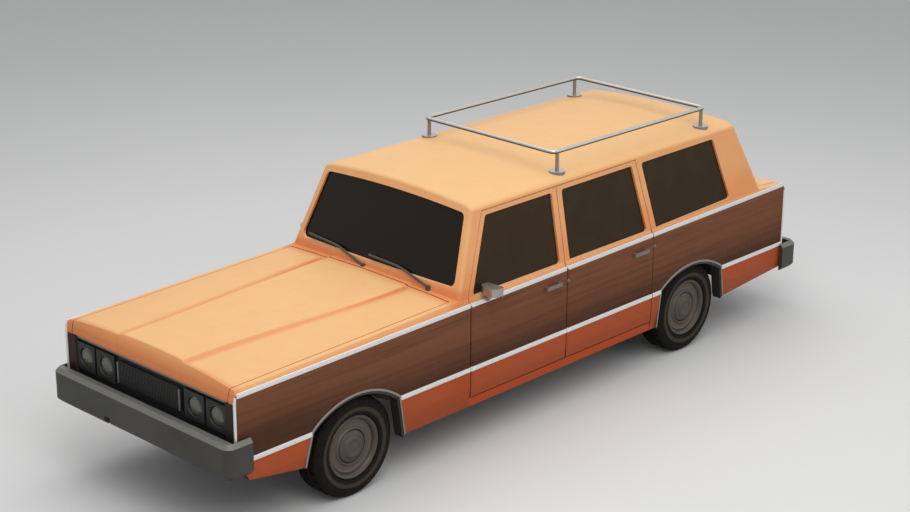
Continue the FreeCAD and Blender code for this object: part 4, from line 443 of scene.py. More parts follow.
def sun_fade(tree, given, out):
    """1 on faces that look up: partly sun-faded paint, partly painted light. Broken up a little by weathering.
    """
    facing = axes_of(tree, "Normal")[2]
    weather = (cloudy(tree, 2.4, 5) - 0.5) * given["Breakup"]
    put(out["Mask"], (facing + weather).graded(-0.30, 0.90))


def edge_wear(tree, given, out):
    """Kept: painted shade, where the paint stays deep beside the hood's ridges, at its lip and round the
    screen's foot.
    Front: the fenders' dark faces at the nose."""
    x, y, z = axes_of(tree)
    off_ridge = abs(x) - (y.graded(-2.65, -0.90) * 0.085 + 0.285)
    towards_screen = y.graded(-1.60, -0.95, 0.0, 0.35) + given["Ridge"]
    ridge = off_ridge.graded(-0.010, 0.012) * off_ridge.graded(0.085, 0.020) * towards_screen
    lip = y.graded(-2.630, -2.665) * 0.45
    on_hood = (y < -0.92) * (z > 0.96)
    cowl = abs(y + 0.83).graded(0.17, 0.02) * (z.graded(1.12, 1.07) * 0.70)
    put(out["Kept"], (ridge.or_more(lip) * on_hood).or_more(cowl))
    facing = (axes_of(tree, "Normal")[1] < -0.7).or_more(abs(x) < 0.79)
    put(out["Front"], facing * ((z < 0.928) * (y < -2.60)))


def road_film(tree, given, out):
    """Darker towards the bottom of the body, in patches."""
    height = axes_of(tree)[2]
    patches = (cloudy(tree, 5.0, 6, 0.6) - 0.5) * given["Breakup"]
    put(out["Mask"], (height + patches).graded(0.60, 0.28))


def mottle(tree, given, out):
    """A soft change of shade over a surface."""
    clouds = cloudy(tree, given["Scale"], 6, 0.6)
    put(out["Color"], ((clouds - 0.5) * given["Amount"] + 1.0).shading(given["Color"]))
    put(out["Value"], clouds)


def timber_film(tree, given, out):
    """Long grain with dark pores, and painted shade darkening its lower edge."""
    grain = cloudy(tree, 9.0, 7, 0.62, stretch=(1.0, 0.10, 3.2), warp=0.35)
    pores = cloudy(tree, 60.0, 3, 0.5, stretch=(1.0, 0.05, 3.0))
    pore_colour = (0.02, 0.009, 0.006, 1)
    x, y, z = axes_of(tree)
    # Painted shade: the timber darkens towards its foot.
    foot_shade = (z - y.graded(-1.0, -2.5, 0.0, 0.10)).graded(0.52, 0.86)
    light = grain.graded(0.22, 0.60, 0.55, 1.0).blend(given["Dark"], given["Light"])
    shaded = (foot_shade * 0.78 + 0.22).blend(given["Dark"], light)
    put(out["Color"], (pores.graded(0.55, 0.75) * 0.24).blend(shaded, pore_colour))
    put(out["Height"], grain + pores * -0.5)


def side_band(tree, given, out):
    """Band: the outer side between the strips. Edge: the doors' gap faces, for painted shade.
    Proud: what stands off the side. Inward: faces that look into the car."""
    x, y, z = axes_of(tree)
    across, along, up = axes_of(tree, "Normal")
    under = z < given["High"] + (y - NOSE_Y) * given["Rise"]
    side = (abs(x) > 0.778) * (abs(across) > 0.4)
    put(out["Band"], under * (z > given["Low"]) * side)
    put(out["Edge"], (abs(along) > 0.7) * (abs(x) > 0.74) * ((y > -2.60) * under))
    put(out["Proud"], abs(x) > 0.8085)
    put(out["Inward"], (x * across < -0.2) * ((z < 1.0) * (z > 0.30)))


def tail_band(tree, given, out):
    """1 on the tailgate's outer face between two heights."""
    x, y, z = axes_of(tree)
    facing = axes_of(tree, "Normal")[1] > 0.6
    between = (z > given["Low"]) * (z < given["High"])
    put(out["Band"], facing * (abs(x) < given["Half"]) * between * (y > 2.63))


def leather_grain(tree, given, out):
    """Fine cells with soft creases."""
    cells = tree.nodes.new("ShaderNodeTexVoronoi")
    cells.feature = "DISTANCE_TO_EDGE"
    put(cells.inputs["Vector"], coordinates(tree))
    put(cells.inputs["Scale"], given["Scale"])
    crease = cloudy(tree, 14.0, 5, 0.6, warp=0.4)
    put(out["Height"], Field(tree, cells.outputs["Distance"]).or_less(0.12) + crease * 0.25)
    put(out["Shade"], crease)


EFFECTS = (
    (sun_fade, {"Breakup": 0.08}, ("Mask",)),
    (edge_wear, {"Ridge": 0.50}, ("Kept", "Front")),
    (road_film, {"Breakup": 0.10}, ("Mask",)),
    (mottle, {"Scale": 6.0, "Amount": 0.1, "Color": WHITE}, ("Color", "Value")),
    (timber_film, {"Light": WHITE, "Dark": BLACK}, ("Color", "Height")),
    (side_band, {"Low": 0.56, "High": 0.98, "Rise": 0.0075}, ("Band", "Edge", "Proud", "Inward")),
    (tail_band, {"Low": 0.64, "High": 0.93, "Half": 0.62}, ("Band",)),
    (leather_grain, {"Scale": 260.0}, ("Height", "Shade")),
)


def build_effect(effect, inputs, outputs):
    """Makes an effect's shader node group, with named inputs and outputs."""
    group = bpy.data.node_groups.new(effect.__name__, "ShaderNodeTree")
    sockets = group.interface
    for label, value in inputs.items():
        kind = "NodeSocketColor" if label in ("Color", "Light", "Dark") else "NodeSocketFloat"
        sockets.new_socket(name=label, in_out="INPUT", socket_type=kind).default_value = value
    for label in outputs:
        kind = "NodeSocketColor" if label == "Color" else "NodeSocketFloat"
        sockets.new_socket(name=label, in_out="OUTPUT", socket_type=kind)
    entry = group.nodes.new("NodeGroupInput").outputs
    exit_sockets = group.nodes.new("NodeGroupOutput").inputs
    effect(group, {label: Field(group, entry[label]) for label in inputs}, exit_sockets)


def placed(tree, effect, **values):
    """The outputs of an effect's group, placed in a material with its own values."""
    node = tree.nodes.new("ShaderNodeGroup")
    node.node_tree = bpy.data.node_groups[effect.__name__]
    for label, value in values.items():
        put(node.inputs[label], value)
    return {socket.name: Field(tree, socket) for socket in node.outputs}


# Finishes

def fresh(name):
    """A new material's tree and its shader."""
    material = bpy.data.materials.new(name)
    material.use_nodes = True
    return material.node_tree, material.node_tree.nodes["Principled BSDF"]


def coat(shader, tint, rough, height, bump, distance=0.001, **constants):
    """Gives a shader its colour, its roughness, a bump from a height, and constants by socket name."""
    put(shader.inputs["Base Color"], tint)
    put(shader.inputs["Roughness"], rough)
    raised = height.tree.nodes.new("ShaderNodeBump")
    raised.inputs["Strength"].default_value = bump
    raised.inputs["Distance"].default_value = distance
    put(raised.inputs["Height"], height)
    put(shader.inputs["Normal"], Field(height.tree, raised.outputs["Normal"]))
    for label, number in constants.items():
        shader.inputs[label.replace("_", " ")].default_value = number


def mottled_coat(tree, tint, rough, clouds, height, bump, **constants):
    """A coat whose colour and gloss change softly: rough is (least, most), clouds (scale, amount)."""
    scale, amount = clouds
    shaded = placed(tree, mottle, Scale=scale, Amount=amount, Color=tint)
    coat(tree.nodes["Principled BSDF"], shaded["Color"], shaded["Value"].graded(0.3, 0.7, *rough), height,
         bump, **constants)


def body_paint(name, timber):
    """Orange paint, paler where it looks up, partly sun-faded and partly painted light, with painted shade
    beside the hood's ridges, lip and cowl. Where the panel has them: the timber film and the dark edges,
    with painted shade in the door gaps.
    """
    paint = bpy.context.scene.wagon_paint
    trim = bpy.context.scene.wagon_trim
    overlay_colour, handle, nose = (0.27, 0.055, 0.02, 1), (0.24, 0.21, 0.18, 1), (0.030, 0.020, 0.014, 1)
    tree, shader = fresh(name)
    height = axes_of(tree)[2]
    # Painted shade: the paint stays deep beside the hood's ridges, at its lip and at the cowl.
    ridge_shade_marks = placed(tree, edge_wear)
    # The faces that look up turn paler, more so higher up: partly sun-faded paint, partly painted light.
    paler_tops = placed(tree, sun_fade)["Mask"] * (1.0 - ridge_shade_marks["Kept"])
    paler_tops = paler_tops * (height.graded(0.70, 1.12) * 0.85 + 0.15)
    paler_tops = paler_tops + (1.0 - paler_tops) * height.graded(1.12, 1.32, 0.0, 0.32)
    # The lower body turns darker towards the bottom.
    lower = (placed(tree, road_film)["Mask"] * 0.75).blend(paint.lower, overlay_colour)
    upright = height.graded(trim.lower_z + 0.002, trim.lower_z - 0.002).blend(paint.body, lower)
    tint = height.graded(1.45, 1.70, 0.0, 0.06).blend(paler_tops.blend(upright, paint.faded), BLACK)
    rough = cloudy(tree, 22.0, 5).graded(0.3, 0.7, 0.42, 0.54)
    bumps = cloudy(tree, 160.0, 2)
    if timber:
        band = placed(tree, side_band, Low=trim.lower_z, High=trim.upper_z, Rise=trim.upper_rise)
        wood = placed(tree, timber_film, Light=paint.timber, Dark=paint.timber_dark)
        # The doors' gap faces take the dark timber colour as painted shade.
        for mask, over in ((band["Band"], wood["Color"]), (band["Edge"] * 0.85, paint.timber_dark),
                           (band["Proud"], handle), (ridge_shade_marks["Front"], nose), (band["Inward"], paint.inner)):
            tint = mask.blend(tint, over)
        put(shader.inputs["Metallic"], band["Proud"] * 0.6)
        rough = rough + band["Band"] * 0.20
        bumps = bumps * 0.2 + wood["Height"] * band["Band"] * 2.0
    shaded = placed(tree, mottle, Scale=7.0, Amount=0.10, Color=tint)
    coat(shader, shaded["Color"], rough, bumps, 0.12, Coat_Weight=0.04, Coat_Roughness=0.2,
         Specular_IOR_Level=0.12)


def tail_paint(name):
    """The tailgate's paint with a timber-look panel on its outer face."""
    paint = bpy.context.scene.wagon_paint
    tree, shader = fresh(name)
    band = placed(tree, tail_band)["Band"]
    wood = placed(tree, timber_film, Light=paint.timber, Dark=paint.timber_dark)
    # Paler on the faces that look up: partly sun-faded paint, partly painted light.
    painted = placed(tree, sun_fade)["Mask"].blend(paint.body, paint.faded)
    shaded = placed(tree, mottle, Scale=7.0, Amount=0.10, Color=band.blend(painted, wood["Color"]))
    rough = cloudy(tree, 22.0, 5).graded(0.3, 0.7, 0.34, 0.48)
    coat(shader, shaded["Color"], rough, wood["Height"] * band, 0.15, Coat_Weight=0.04,
         Specular_IOR_Level=0.22)


def plain_finish(name, tint, metal, rough, clouds, bump=(0.1, 140.0), dust_and_sheen=None):
    """A mottled finish: bump is (strength, scale of its grain), dusty the (colour, share) of the painted light
    on its upper faces.
    """
    tree = fresh(name)[0]
    strength, grain = bump
    if dust_and_sheen:
        overlay_colour, share = dust_and_sheen
        # Painted light: the upper faces turn paler.
        tint = (placed(tree, sun_fade, Breakup=0.2)["Mask"] * share).blend(tint, overlay_colour)
    mottled_coat(tree, tint, rough, clouds, cloudy(tree, grain, 3), strength, Metallic=metal)


def rack_metal(name):
    """Brushed metal with painted light where it looks up, and painted shade underneath and on the posts."""
    underside_shade, bright = (0.050, 0.045, 0.036, 1), (0.56, 0.535, 0.50, 1)
    tree, shader = fresh(name)
    up = axes_of(tree, "Normal")[2].graded(-0.35, 0.45)
    put(shader.inputs["Metallic"], up * 0.3 + 0.4)
    mottled_coat(tree, up.blend(underside_shade, bright), (0.30, 0.42), (24.0, 0.15), cloudy(tree, 140.0, 3), 0.02)


def floor_coat(name):
    """Dark underbody coat, with body paint on the rockers and carpet on the faces that look up."""
    under = (0.030, 0.027, 0.024, 1)
    carpet_dark, carpet_light = (0.030, 0.018, 0.012, 1), (0.085, 0.048, 0.030, 1)
    rocker_x, rocker_z = 0.735, 0.292
    tree = fresh(name)[0]
    x, y, z = axes_of(tree)
    pile = cloudy(tree, 420.0, 3, 0.6)
    carpet = pile.blend(carpet_dark, carpet_light)
    inside = axes_of(tree, "Normal")[2].graded(0.2, 0.6).blend(under, carpet)
    rocker = (abs(x) > rocker_x) * (z > rocker_z)
    painted = rocker.blend(inside, bpy.context.scene.wagon_paint.lower)
    mottled_coat(tree, painted, (0.6, 0.85), (7.0, 0.25), pile, 0.25, Specular_IOR_Level=0.2)


def window_glass(name):
    """Dark brown tinted glass that barely shows the cabin, with painted shade darkening the windscreen."""
    tree, shader = fresh(name)
    height = axes_of(tree)[2]
    forward = axes_of(tree, "Normal")[1] < -0.3
    # Painted light and shade: the glass turns lighter towards its top, and the windscreen, which looks forward,
    # darker.
    shade = height.graded(1.05, 1.55, 0.95, 1.05) * (1.0 - forward * 0.70)
    put(shader.inputs["Base Color"], shade.shading(bpy.context.scene.wagon_paint.glass[:3]))
    put(shader.inputs["Roughness"], cloudy(tree, 9.0, 4).graded(0.3, 0.7, 0.10, 0.20))
    shader.inputs["Transmission Weight"].default_value = 0.25
    shader.inputs["Specular IOR Level"].default_value = 0.06


def moulded_lens(name, tint, flutes):
    """A moulded lens: coloured, glossy, fluted by a bump."""
    tree = fresh(name)[0]
    wave = (axes_of(tree)[0] * flutes).worked("SINE")
    mottled_coat(tree, tint, (0.08, 0.2), (30.0, 0.3), wave, 0.35, Coat_Weight=0.6, Coat_Roughness=0.05)


def tyre_rubber(name):
    """Dull rubber, dirt-greyed on its sidewall, with a paler ring near the rim."""
    rubber, overlay_colour = (0.0046, 0.0038, 0.0031, 1), (0.0130, 0.0098, 0.0072, 1)
    ring_colour = (0.056, 0.047, 0.035, 1)
    tree, shader = fresh(name)
    across = abs(axes_of(tree, "Normal")[0])
    dust_and_sheen = across.graded(0.4, 0.95) * cloudy(tree, 16.0, 6, 0.6).graded(0.3, 0.7, 0.25, 0.75)
    x, y, z = axes_of(tree)
    off = y - AXLE_Y["front"] + (y > 0.0) * (AXLE_Y["front"] - AXLE_Y["rear"])
    rise = z - TYRE_RADIUS
    radius = (off * off + rise * rise).worked("SQRT")
    ring = radius.graded(0.228, 0.243) * radius.graded(0.268, 0.256)
    tint = (ring * across.graded(0.4, 0.8, 0.0, 0.8)).blend(dust_and_sheen.blend(rubber, overlay_colour), ring_colour)
    coat(shader, tint, cloudy(tree, 40.0, 4).graded(0.3, 0.7, 0.68, 0.88), cloudy(tree, 420.0, 3), 0.2,
         Specular_IOR_Level=0.12)


def bench_leather(name):
    """Creased brown leather."""
    leather = bpy.context.scene.wagon_paint.leather
    dark = tuple(channel * 0.62 for channel in leather[:3]) + (1,)
    tree, shader = fresh(name)
    grain = placed(tree, leather_grain)
    coat(shader, grain["Shade"].graded(0.3, 0.7).blend(dark, leather),
         grain["Shade"].graded(0.3, 0.7, 0.42, 0.58), grain["Height"], 0.35, 0.0008)


def build_finishes():
    """Every finish, each a material of its own name."""
    paint = bpy.context.scene.wagon_paint
    for effect in EFFECTS:
        build_effect(*effect)
    body_paint("body_paint_plain", timber=False)
    body_paint("body_paint_timber", timber=True)
    tail_paint("tailgate_paint")
    window_glass("tinted_window")
    rack_metal("rack_metal")
    floor_coat("floor_coat")
    tyre_rubber("tyre_rubber_worn")
    bench_leather("bench_leather")
    moulded_lens("headlamp_glass", (0.085, 0.083, 0.055, 1), 900.0)
    moulded_lens("tail_lens_red", (0.34, 0.022, 0.014, 1), 500.0)

    # Metals: name, colour, metal, roughness, clouds, and where it isn't the usual one the bump
    plain_finish("bright_metal", paint.bright, 0.30, (0.34, 0.46), (30.0, 0.10), (0.01, 140.0))
    plain_finish("arch_lip_metal", (0.27, 0.25, 0.22, 1), 0.4, (0.34, 0.46), (30.0, 0.14), (0.01, 140.0))
    plain_finish("handle_metal", (0.20, 0.175, 0.15, 1), 0.6, (0.30, 0.42), (30.0, 0.14), (0.01, 140.0))
    plain_finish("header_metal", (0.17, 0.175, 0.165, 1), 0.6, (0.34, 0.46), (24.0, 0.2), (0.02, 140.0))
    plain_finish("mirror_silver", (0.62, 0.64, 0.66, 1), 1.0, (0.03, 0.08), (8.0, 0.05), (0.01, 140.0))
    # The mirror body and the bumpers turn paler on their upper faces: painted light.
    plain_finish("mirror_body_metal", (0.38, 0.36, 0.33, 1), 0.9, (0.30, 0.42), (24.0, 0.2), (0.03, 140.0),
                 dust_and_sheen=((0.56, 0.54, 0.50, 1), 0.7))
    plain_finish("bumper_metal_dull", paint.bumper, 0.30, (0.42, 0.58), (5.0, 0.3), (0.1, 60.0),
                 dust_and_sheen=((0.24, 0.235, 0.20, 1), 0.8))
    plain_finish("grille_dark", (0.022, 0.024, 0.022, 1), 0.4, (0.45, 0.6), (18.0, 0.3))
    plain_finish("grille_rib_metal", (0.062, 0.066, 0.060, 1), 0.6, (0.36, 0.5), (18.0, 0.3))
    plain_finish("wheel_enamel", (0.096, 0.077, 0.061, 1), 0.25, (0.5, 0.62), (26.0, 0.25))
    plain_finish("wheel_cover_metal", (0.104, 0.082, 0.062, 1), 0.35, (0.45, 0.58), (26.0, 0.25))
    plain_finish("wheel_ring_metal", (0.080, 0.066, 0.052, 1), 0.45, (0.42, 0.55), (26.0, 0.2))
    plain_finish("wiper_metal", (0.072, 0.075, 0.066, 1), 0.3, (0.4, 0.55), (20.0, 0.25))
    plain_finish("engine_cast_iron", (0.055, 0.052, 0.049, 1), 0.4, (0.5, 0.75), (14.0, 0.5), (0.4, 120.0))
    plain_finish("exhaust_scaled_steel", (0.13, 0.095, 0.07, 1), 0.7, (0.5, 0.75), (14.0, 0.6), (0.3, 90.0))

    # Mouldings and coats, with no metal in them
    plain_finish("black_moulding", (0.018, 0.017, 0.016, 1), 0.0, (0.45, 0.62), (20.0, 0.3))
    plain_finish("dash_moulding", (0.050, 0.030, 0.021, 1), 0.0, (0.5, 0.65), (16.0, 0.2), (0.3, 500.0))
    plain_finish("underbody_coat", (0.030, 0.027, 0.024, 1), 0.0, (0.7, 0.9), (6.0, 0.6), (0.5, 90.0))
    plain_finish("blank_plate_enamel", (0.62, 0.61, 0.57, 1), 0.0, (0.35, 0.5), (20.0, 0.12))


def both(*labels):
    """The left and right nodes of each label."""
    return tuple("%s_%s" % (label, side) for label in labels for side, way in SIDES)


NODE_FINISHES = {
    "body_paint_timber": both("front_fender", "quarter_panel", "door_front", "door_rear"),
    "body_paint_plain": ("cabin_shell", "cowl_panel", "hood"),
    "tailgate_paint": ("tailgate",),
    "tinted_window": ("fixed_glass",) + both("door_glass_front", "door_glass_rear"),
    "grille_dark": ("grille_panel",),
    "headlamp_glass": ("headlamps",),
    "tail_lens_red": ("tail_lamps",),
    "bumper_metal_dull": ("front_bumper", "rear_bumper"),
    "rack_metal": ("roof_rack",),
    "mirror_body_metal": both("mirror"),
    "wiper_metal": ("wipers",),
    "black_moulding": ("steering_wheel",),
    "floor_coat": ("floor_pan",),
    "underbody_coat": ("chassis_frame", "engine_bay_walls", "fuel_tank"),
    "engine_cast_iron": ("engine", "propshaft", "rear_axle", "leaf_springs", "front_suspension",
                         *both("knuckle")),
    "exhaust_scaled_steel": ("exhaust",),
    "dash_moulding": ("dashboard",),
    "bench_leather": ("front_seat", "rear_seat"),
    "tyre_rubber_worn": both("tyre_front", "tyre_rear"),
    "wheel_enamel": both("wheel_front", "wheel_rear"),
}


def give_finish(piece, finish):
    """Puts a finish on a piece in place of what it has."""
    piece.data.materials.clear()
    piece.data.materials.append(bpy.data.materials[finish])


def dress(piece, finish, body):
    """Gives a new piece its finish and its body."""
    give_finish(piece, finish)
    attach(piece, body)


def pair(piece, finish, body):
    """Dresses a left piece and its mirrored twin; {} in the body's name stands for the side."""
    twin = copied(piece, piece.name.replace("_left", "_right"), mirrored=True)
    for thing, side in ((piece, "left"), (twin, "right")):
        dress(thing, finish, body.format(side))


def at_wheels(piece, label, finish, replaced=None):
    """Dresses a piece of the front left wheel and its copies at the other wheels."""
    for end, axle_y in AXLE_Y.items():
        for side, way in SIDES:
            wheel = "%s_%s" % (end, side)
            this = piece
            if wheel != "front_left":
                step = (0, axle_y - AXLE_Y["front"], 0)
                this = copied(piece, "%s_%s" % (label, wheel), step, mirrored=way < 0)
            dress(this, finish, "road_wheel_" + wheel)
            if replaced:
                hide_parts(replaced + wheel)


# Operators

class WAGON_OT_finishes(bpy.types.Operator):
    """Builds the finishes and gives each CAD node its own"""

    bl_idname = "wagon.finishes"
    bl_label = "Finishes"

    def execute(self, context):
        build_finishes()
        left = set(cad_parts)
        for finish, nodes in NODE_FINISHES.items():
            for node in nodes:
                give_finish(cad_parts[node], finish)
                left.remove(node)
        if left:
            raise RuntimeError("no finish for %s" % sorted(left))
        return {"FINISHED"}


# Runs of the side strips: piece, body, front end and back end
DOOR_RUNS = (
    ("front_door", "door_front_{}", -0.758, 0.163),
    ("rear_door", "door_rear_{}", 0.173, 1.078),
)
UPPER_RUNS = (("fender", "car_body", -2.690, -0.768),) + DOOR_RUNS + (("quarter", "car_body", 1.088, 2.640),)
LOWER_RUNS = (("nose", "car_body", -2.690, -2.128), ("fender", "car_body", -1.388, -0.768)) + DOOR_RUNS + (
    ("quarter", "car_body", 1.088, 1.180), ("tail", "car_body", 1.894, 2.640))


def run_points(trim, level, label, start, end):
    """The points of a side strip from its back end to its front end, on the body's side."""
    stand = trim.strip_reach / 2 - 0.001
    line = [(end, stand)]
    if "door" in label:
        # A door's strip follows its rounded front edge, so it turns clear of the panel ahead
        round_y = start - 0.002 + DOOR_ROUND
        radius = DOOR_ROUND + 0.001
        line.append((round_y + 0.010, stand))
        for turn in (0.0, math.radians(25), math.radians(50)):
            line.append((round_y - radius * math.sin(turn), radius * math.cos(turn) - DOOR_ROUND))
    else:
        line.append((start, stand))
    points = []
    for y, out in line:
        z = trim.lower_z if level == "lower" else trim.upper_z + trim.upper_rise * (y - NOSE_Y)
        side = HALF - max(0.0, z - SHOULDER_Z) * SHOULDER_SLANT
        points.append((side + out, y, z))
    return points


class WAGON_OT_side_strips(bpy.types.Operator):
    """Bright strips above and below the timber, split at each door"""

    bl_idname = "wagon.side_strips"
    bl_label = "Side strips"

    def execute(self, context):
        trim = context.scene.wagon_trim
        size = (trim.strip_reach + 0.002, trim.strip_height)
        for level, runs in (("upper", UPPER_RUNS), ("lower", LOWER_RUNS)):
            for label, body, start, end in runs:
                points = run_points(trim, level, label, start, end)
                strip = strip_along("%s_strip_%s_left" % (level, label), size, points, 0.32)
                pair(strip, "bright_metal", body)
        return {"FINISHED"}


# Arches: end, centre, radius, and (y, z) of the arc's front and back ends and of the feet below them
ARCHES = (
    ("front", (-1.758, 0.138), 0.562, (-2.115, 0.572), (-1.401, 0.572), (-2.177, 0.358), (-1.359, 0.300)),
    ("rear", (1.537, 0.075), 0.605, (1.192, 0.572), (1.882, 0.572), (1.152, 0.300), (1.920, 0.326)),
)
# Bands of an arch: name, width along the radius, its middle off the arch, x from and to, finish, slot
ARCH_BANDS = (
    ("lip", 0.014, 0.007, HALF - 0.004, HALF + 0.006, "arch_lip_metal", "chrome_trim"),
    ("flange", 0.026, -0.005, HALF - 0.075, HALF - 0.003, "black_moulding", "black_trim"),
)


class WAGON_OT_arch_lips(bpy.types.Operator):
    """Bright lips spun round each wheel arch, with a black inner flange"""

    bl_idname = "wagon.arch_lips"
    bl_label = "Arch lips"

    def execute(self, context):
        for arch in ARCHES:
            for band in ARCH_BANDS:
                self.spin_band(arch, band)
        return {"FINISHED"}

    def spin_band(self, arch, band):
        """A small face across the arch's front end, spun to its back end and grown down to both feet."""
        end, centre, radius, front, back, front_foot, back_foot = arch
        label, width, off, inner, outer, finish, slot = band
        clear_selection()
        start, stop = (math.atan2(z - centre[1], y - centre[0]) for y, z in (front, back))
        pivot = Vector(((inner + outer) / 2, *centre))
        place = pivot + Vector((0, math.cos(start), math.sin(start))) * (radius + off)
        bpy.ops.mesh.primitive_plane_add(size=1, location=place, rotation=(start, 0, 0))
        named("arch_%s_%s_left" % (label, end)).scale = (outer - inner, width, 1)
        settle()
        edit()
        bpy.ops.mesh.spin(steps=22, angle=start - stop, center=pivot, axis=LEFTWARD, use_auto_merge=False)
        grow((0, back_foot[0] - back[0], back_foot[1] - back[1]))
        choose_faces(lambda middle, normal: (middle - place).length < 0.004)
        grow((0, front_foot[0] - front[0], front_foot[1] - front[1]))
        piece = close_up(60)
        apply_modifier("BEVEL", width=0.0022, segments=2, limit_method="ANGLE", angle_limit=math.radians(50))
        pair(piece, finish, "car_body")


class WAGON_OT_nose_trim(bpy.types.Operator):
    """Upright bright edges at the nose corners, the header strip and the grille's ribs"""

    bl_idname = "wagon.nose_trim"
    bl_label = "Nose trim"

    def execute(self, context):
        # The edges follow the fender's face, found by rays from ahead
        foot_z, top_z, steps = 0.646, 0.974, 8
        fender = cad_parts["front_fender_left"]
        points = []
        for step in range(steps + 1):
            z = foot_z + (top_z - foot_z) * step / steps
            hit, place, _, _ = fender.ray_cast(Vector((0.797, -3.2, z)), BACKWARD)
            if hit:
                points.append((0.801, place.y - 0.001, z))
        pair(strip_along("nose_edge_left", (0.016, 0.014), points), "bright_metal", "car_body")

        header_half, header_y, header_z = 0.712, PANEL_Y - 0.010, 0.916
        header = strip_along("header_strip", (0.014, 0.018),
                             [(-header_half, header_y, header_z), (header_half, header_y, header_z)])
        dress(header, "header_metal", "car_body")

        upright_x, upright_y = 0.294, PANEL_Y - 0.024
        for side, way in SIDES:
            upright = strip_along("grille_upright_" + side, (0.012, 0.012),
                                  [(way * upright_x, upright_y, 0.736), (way * upright_x, upright_y, 0.874)])
            dress(upright, "header_metal", "car_body")

        rib_count, rib_pitch, rib_y = 39, 0.0145, PANEL_Y - 0.016
        first_x = -rib_pitch * (rib_count - 1) / 2
        rib = strip_along("grille_ribs", (0.0035, 0.014),
                          [(first_x, rib_y, 0.737), (first_x, rib_y, 0.873)], bevel=0)
        apply_modifier("ARRAY", count=rib_count, use_relative_offset=False, use_constant_offset=True,
                       constant_offset_displace=(rib_pitch, 0, 0))
        dress(rib, "grille_rib_metal", "car_body")
        return {"FINISHED"}


# Turned outlines of the headlamps: distance ahead of the panel, radius
LAMP_RING = ((0.000, 0.0715), (0.016, 0.0715), (0.019, 0.069), (0.0185, 0.064), (0.008, 0.0615),
             (0.000, 0.0615))
LAMP_LENS = ((0.001, 0.0612), (0.006, 0.0612), (0.010, 0.056), (0.0135, 0.044), (0.0155, 0.028),
             (0.0165, 0.010), (0.0166, 0.0))


class WAGON_OT_lamps(bpy.types.Operator):
    """Headlamp lenses and rings, and the lenses of the tail lamps"""

    bl_idname = "wagon.lamps"
    bl_label = "Lamps"

    def execute(self, context):
        lamp_x = {"outer_right": -0.624, "inner_right": -0.424, "inner_left": 0.424, "outer_left": 0.624}
        first = "outer_right"
        face = (lamp_x[first], PANEL_Y - 0.001, 0.802)
        ring = turned("lamp_ring_" + first, face, LAMP_RING, 40, FORWARD, closed=True)
        lens = turned("lamp_lens_" + first, face, LAMP_LENS, 40, FORWARD, smooth=60)
        for label, x in lamp_x.items():
            for piece, kind, finish, slot in ((ring, "lamp_ring_", "grille_rib_metal", "chrome_trim"),
                                              (lens, "lamp_lens_", "headlamp_glass", "lamp_glass")):
                if label != first:
                    piece = copied(piece, kind + label, (x - lamp_x[first], 0, 0))
                dress(piece, finish, "car_body")

        low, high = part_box("tail_lamps")
        lens_width = 0.062
        for side, way in SIDES:
            x_low, x_high = sorted((way * (high.x - lens_width), way * high.x))
            lens = block("tail_lens_" + side, (x_low + 0.004, high.y - 0.004, low.z + 0.006),
                         (x_high - 0.004, high.y + 0.004, high.z - 0.006), 0.002, (BACKWARD, 0.006, 0.004))
            dress(lens, "tail_lens_red", "car_body")
            for level, z in enumerate((low.z + 0.1, low.z + 0.2)):
                bar = strip_along("tail_lamp_bar_%s_%d" % (side, level), (0.010, 0.005),
                                  [(x_low + 0.002, high.y + 0.007, z), (x_high - 0.002, high.y + 0.007, z)])
                dress(bar, "bright_metal", "car_body")
        return {"FINISHED"}


# The inboard half of a tyre's outline up to its tread: distance outboard of its middle, radius
TYRE_WALL = (
    (-0.082, 0.2056), (-0.088, 0.212), (-0.0925, 0.216), (-0.0935, 0.221), (-0.0985, 0.232), (-0.102, 0.252),
    (-0.1035, 0.256), (-0.1035, 0.262), (-0.1015, 0.266), (-0.100, 0.282), (-0.094, 0.300), (-0.086, 0.314),
    (-0.079, 0.3225), (-0.072, 0.3268),
)


class WAGON_OT_tyres(bpy.types.Operator):
    """Tyres with a grooved tread and ribbed sidewalls, in place of the plain ones"""

    bl_idname = "wagon.tyres"
    bl_label = "Tyres"

    def execute(self, context):
        tyre = context.scene.wagon_tyre
        top, foot = TYRE_RADIUS, TYRE_RADIUS - tyre.groove
        profile = TYRE_WALL + (
            (-0.047, top - 0.0012), (-0.0465, foot), (-0.0405, foot), (-0.040, top - 0.0008),
            (-0.013, top), (-0.0125, foot), (-0.0065, foot), (-0.006, top),
        )
        rings = profile + tuple((-way, radius) for way, radius in reversed(profile))
        count = tyre.segments * 4
        piece = turned("tyre_tread_front_left", WHEEL_CENTRE, rings, count, closed=True, smooth=50)
        slot_low, slot_high, slot_radius = 0.046, 0.082, 0.318

        def is_slot(middle, normal):
            off = middle - WHEEL_CENTRE
            out = Vector((0, off.y, off.z))
            if not slot_low < abs(off.x) < slot_high or out.length < slot_radius:
                return False
            turn = math.floor(math.atan2(out.z, out.y) * count / (2 * math.pi))
            return normal.dot(out.normalized()) >= 0.5 and turn % 4 == (0 if off.x > 0 else 2)

        edit()
        choose_faces(is_slot)
        bpy.ops.mesh.extrude_region_shrink_fatten(TRANSFORM_OT_shrink_fatten={"value": -tyre.groove * 0.8})
        bpy.ops.object.mode_set(mode="OBJECT")
        bpy.ops.object.shade_smooth_by_angle(angle=math.radians(40))
        at_wheels(piece, "tyre_tread", "tyre_rubber_worn", replaced="tyre_")
        return {"FINISHED"}


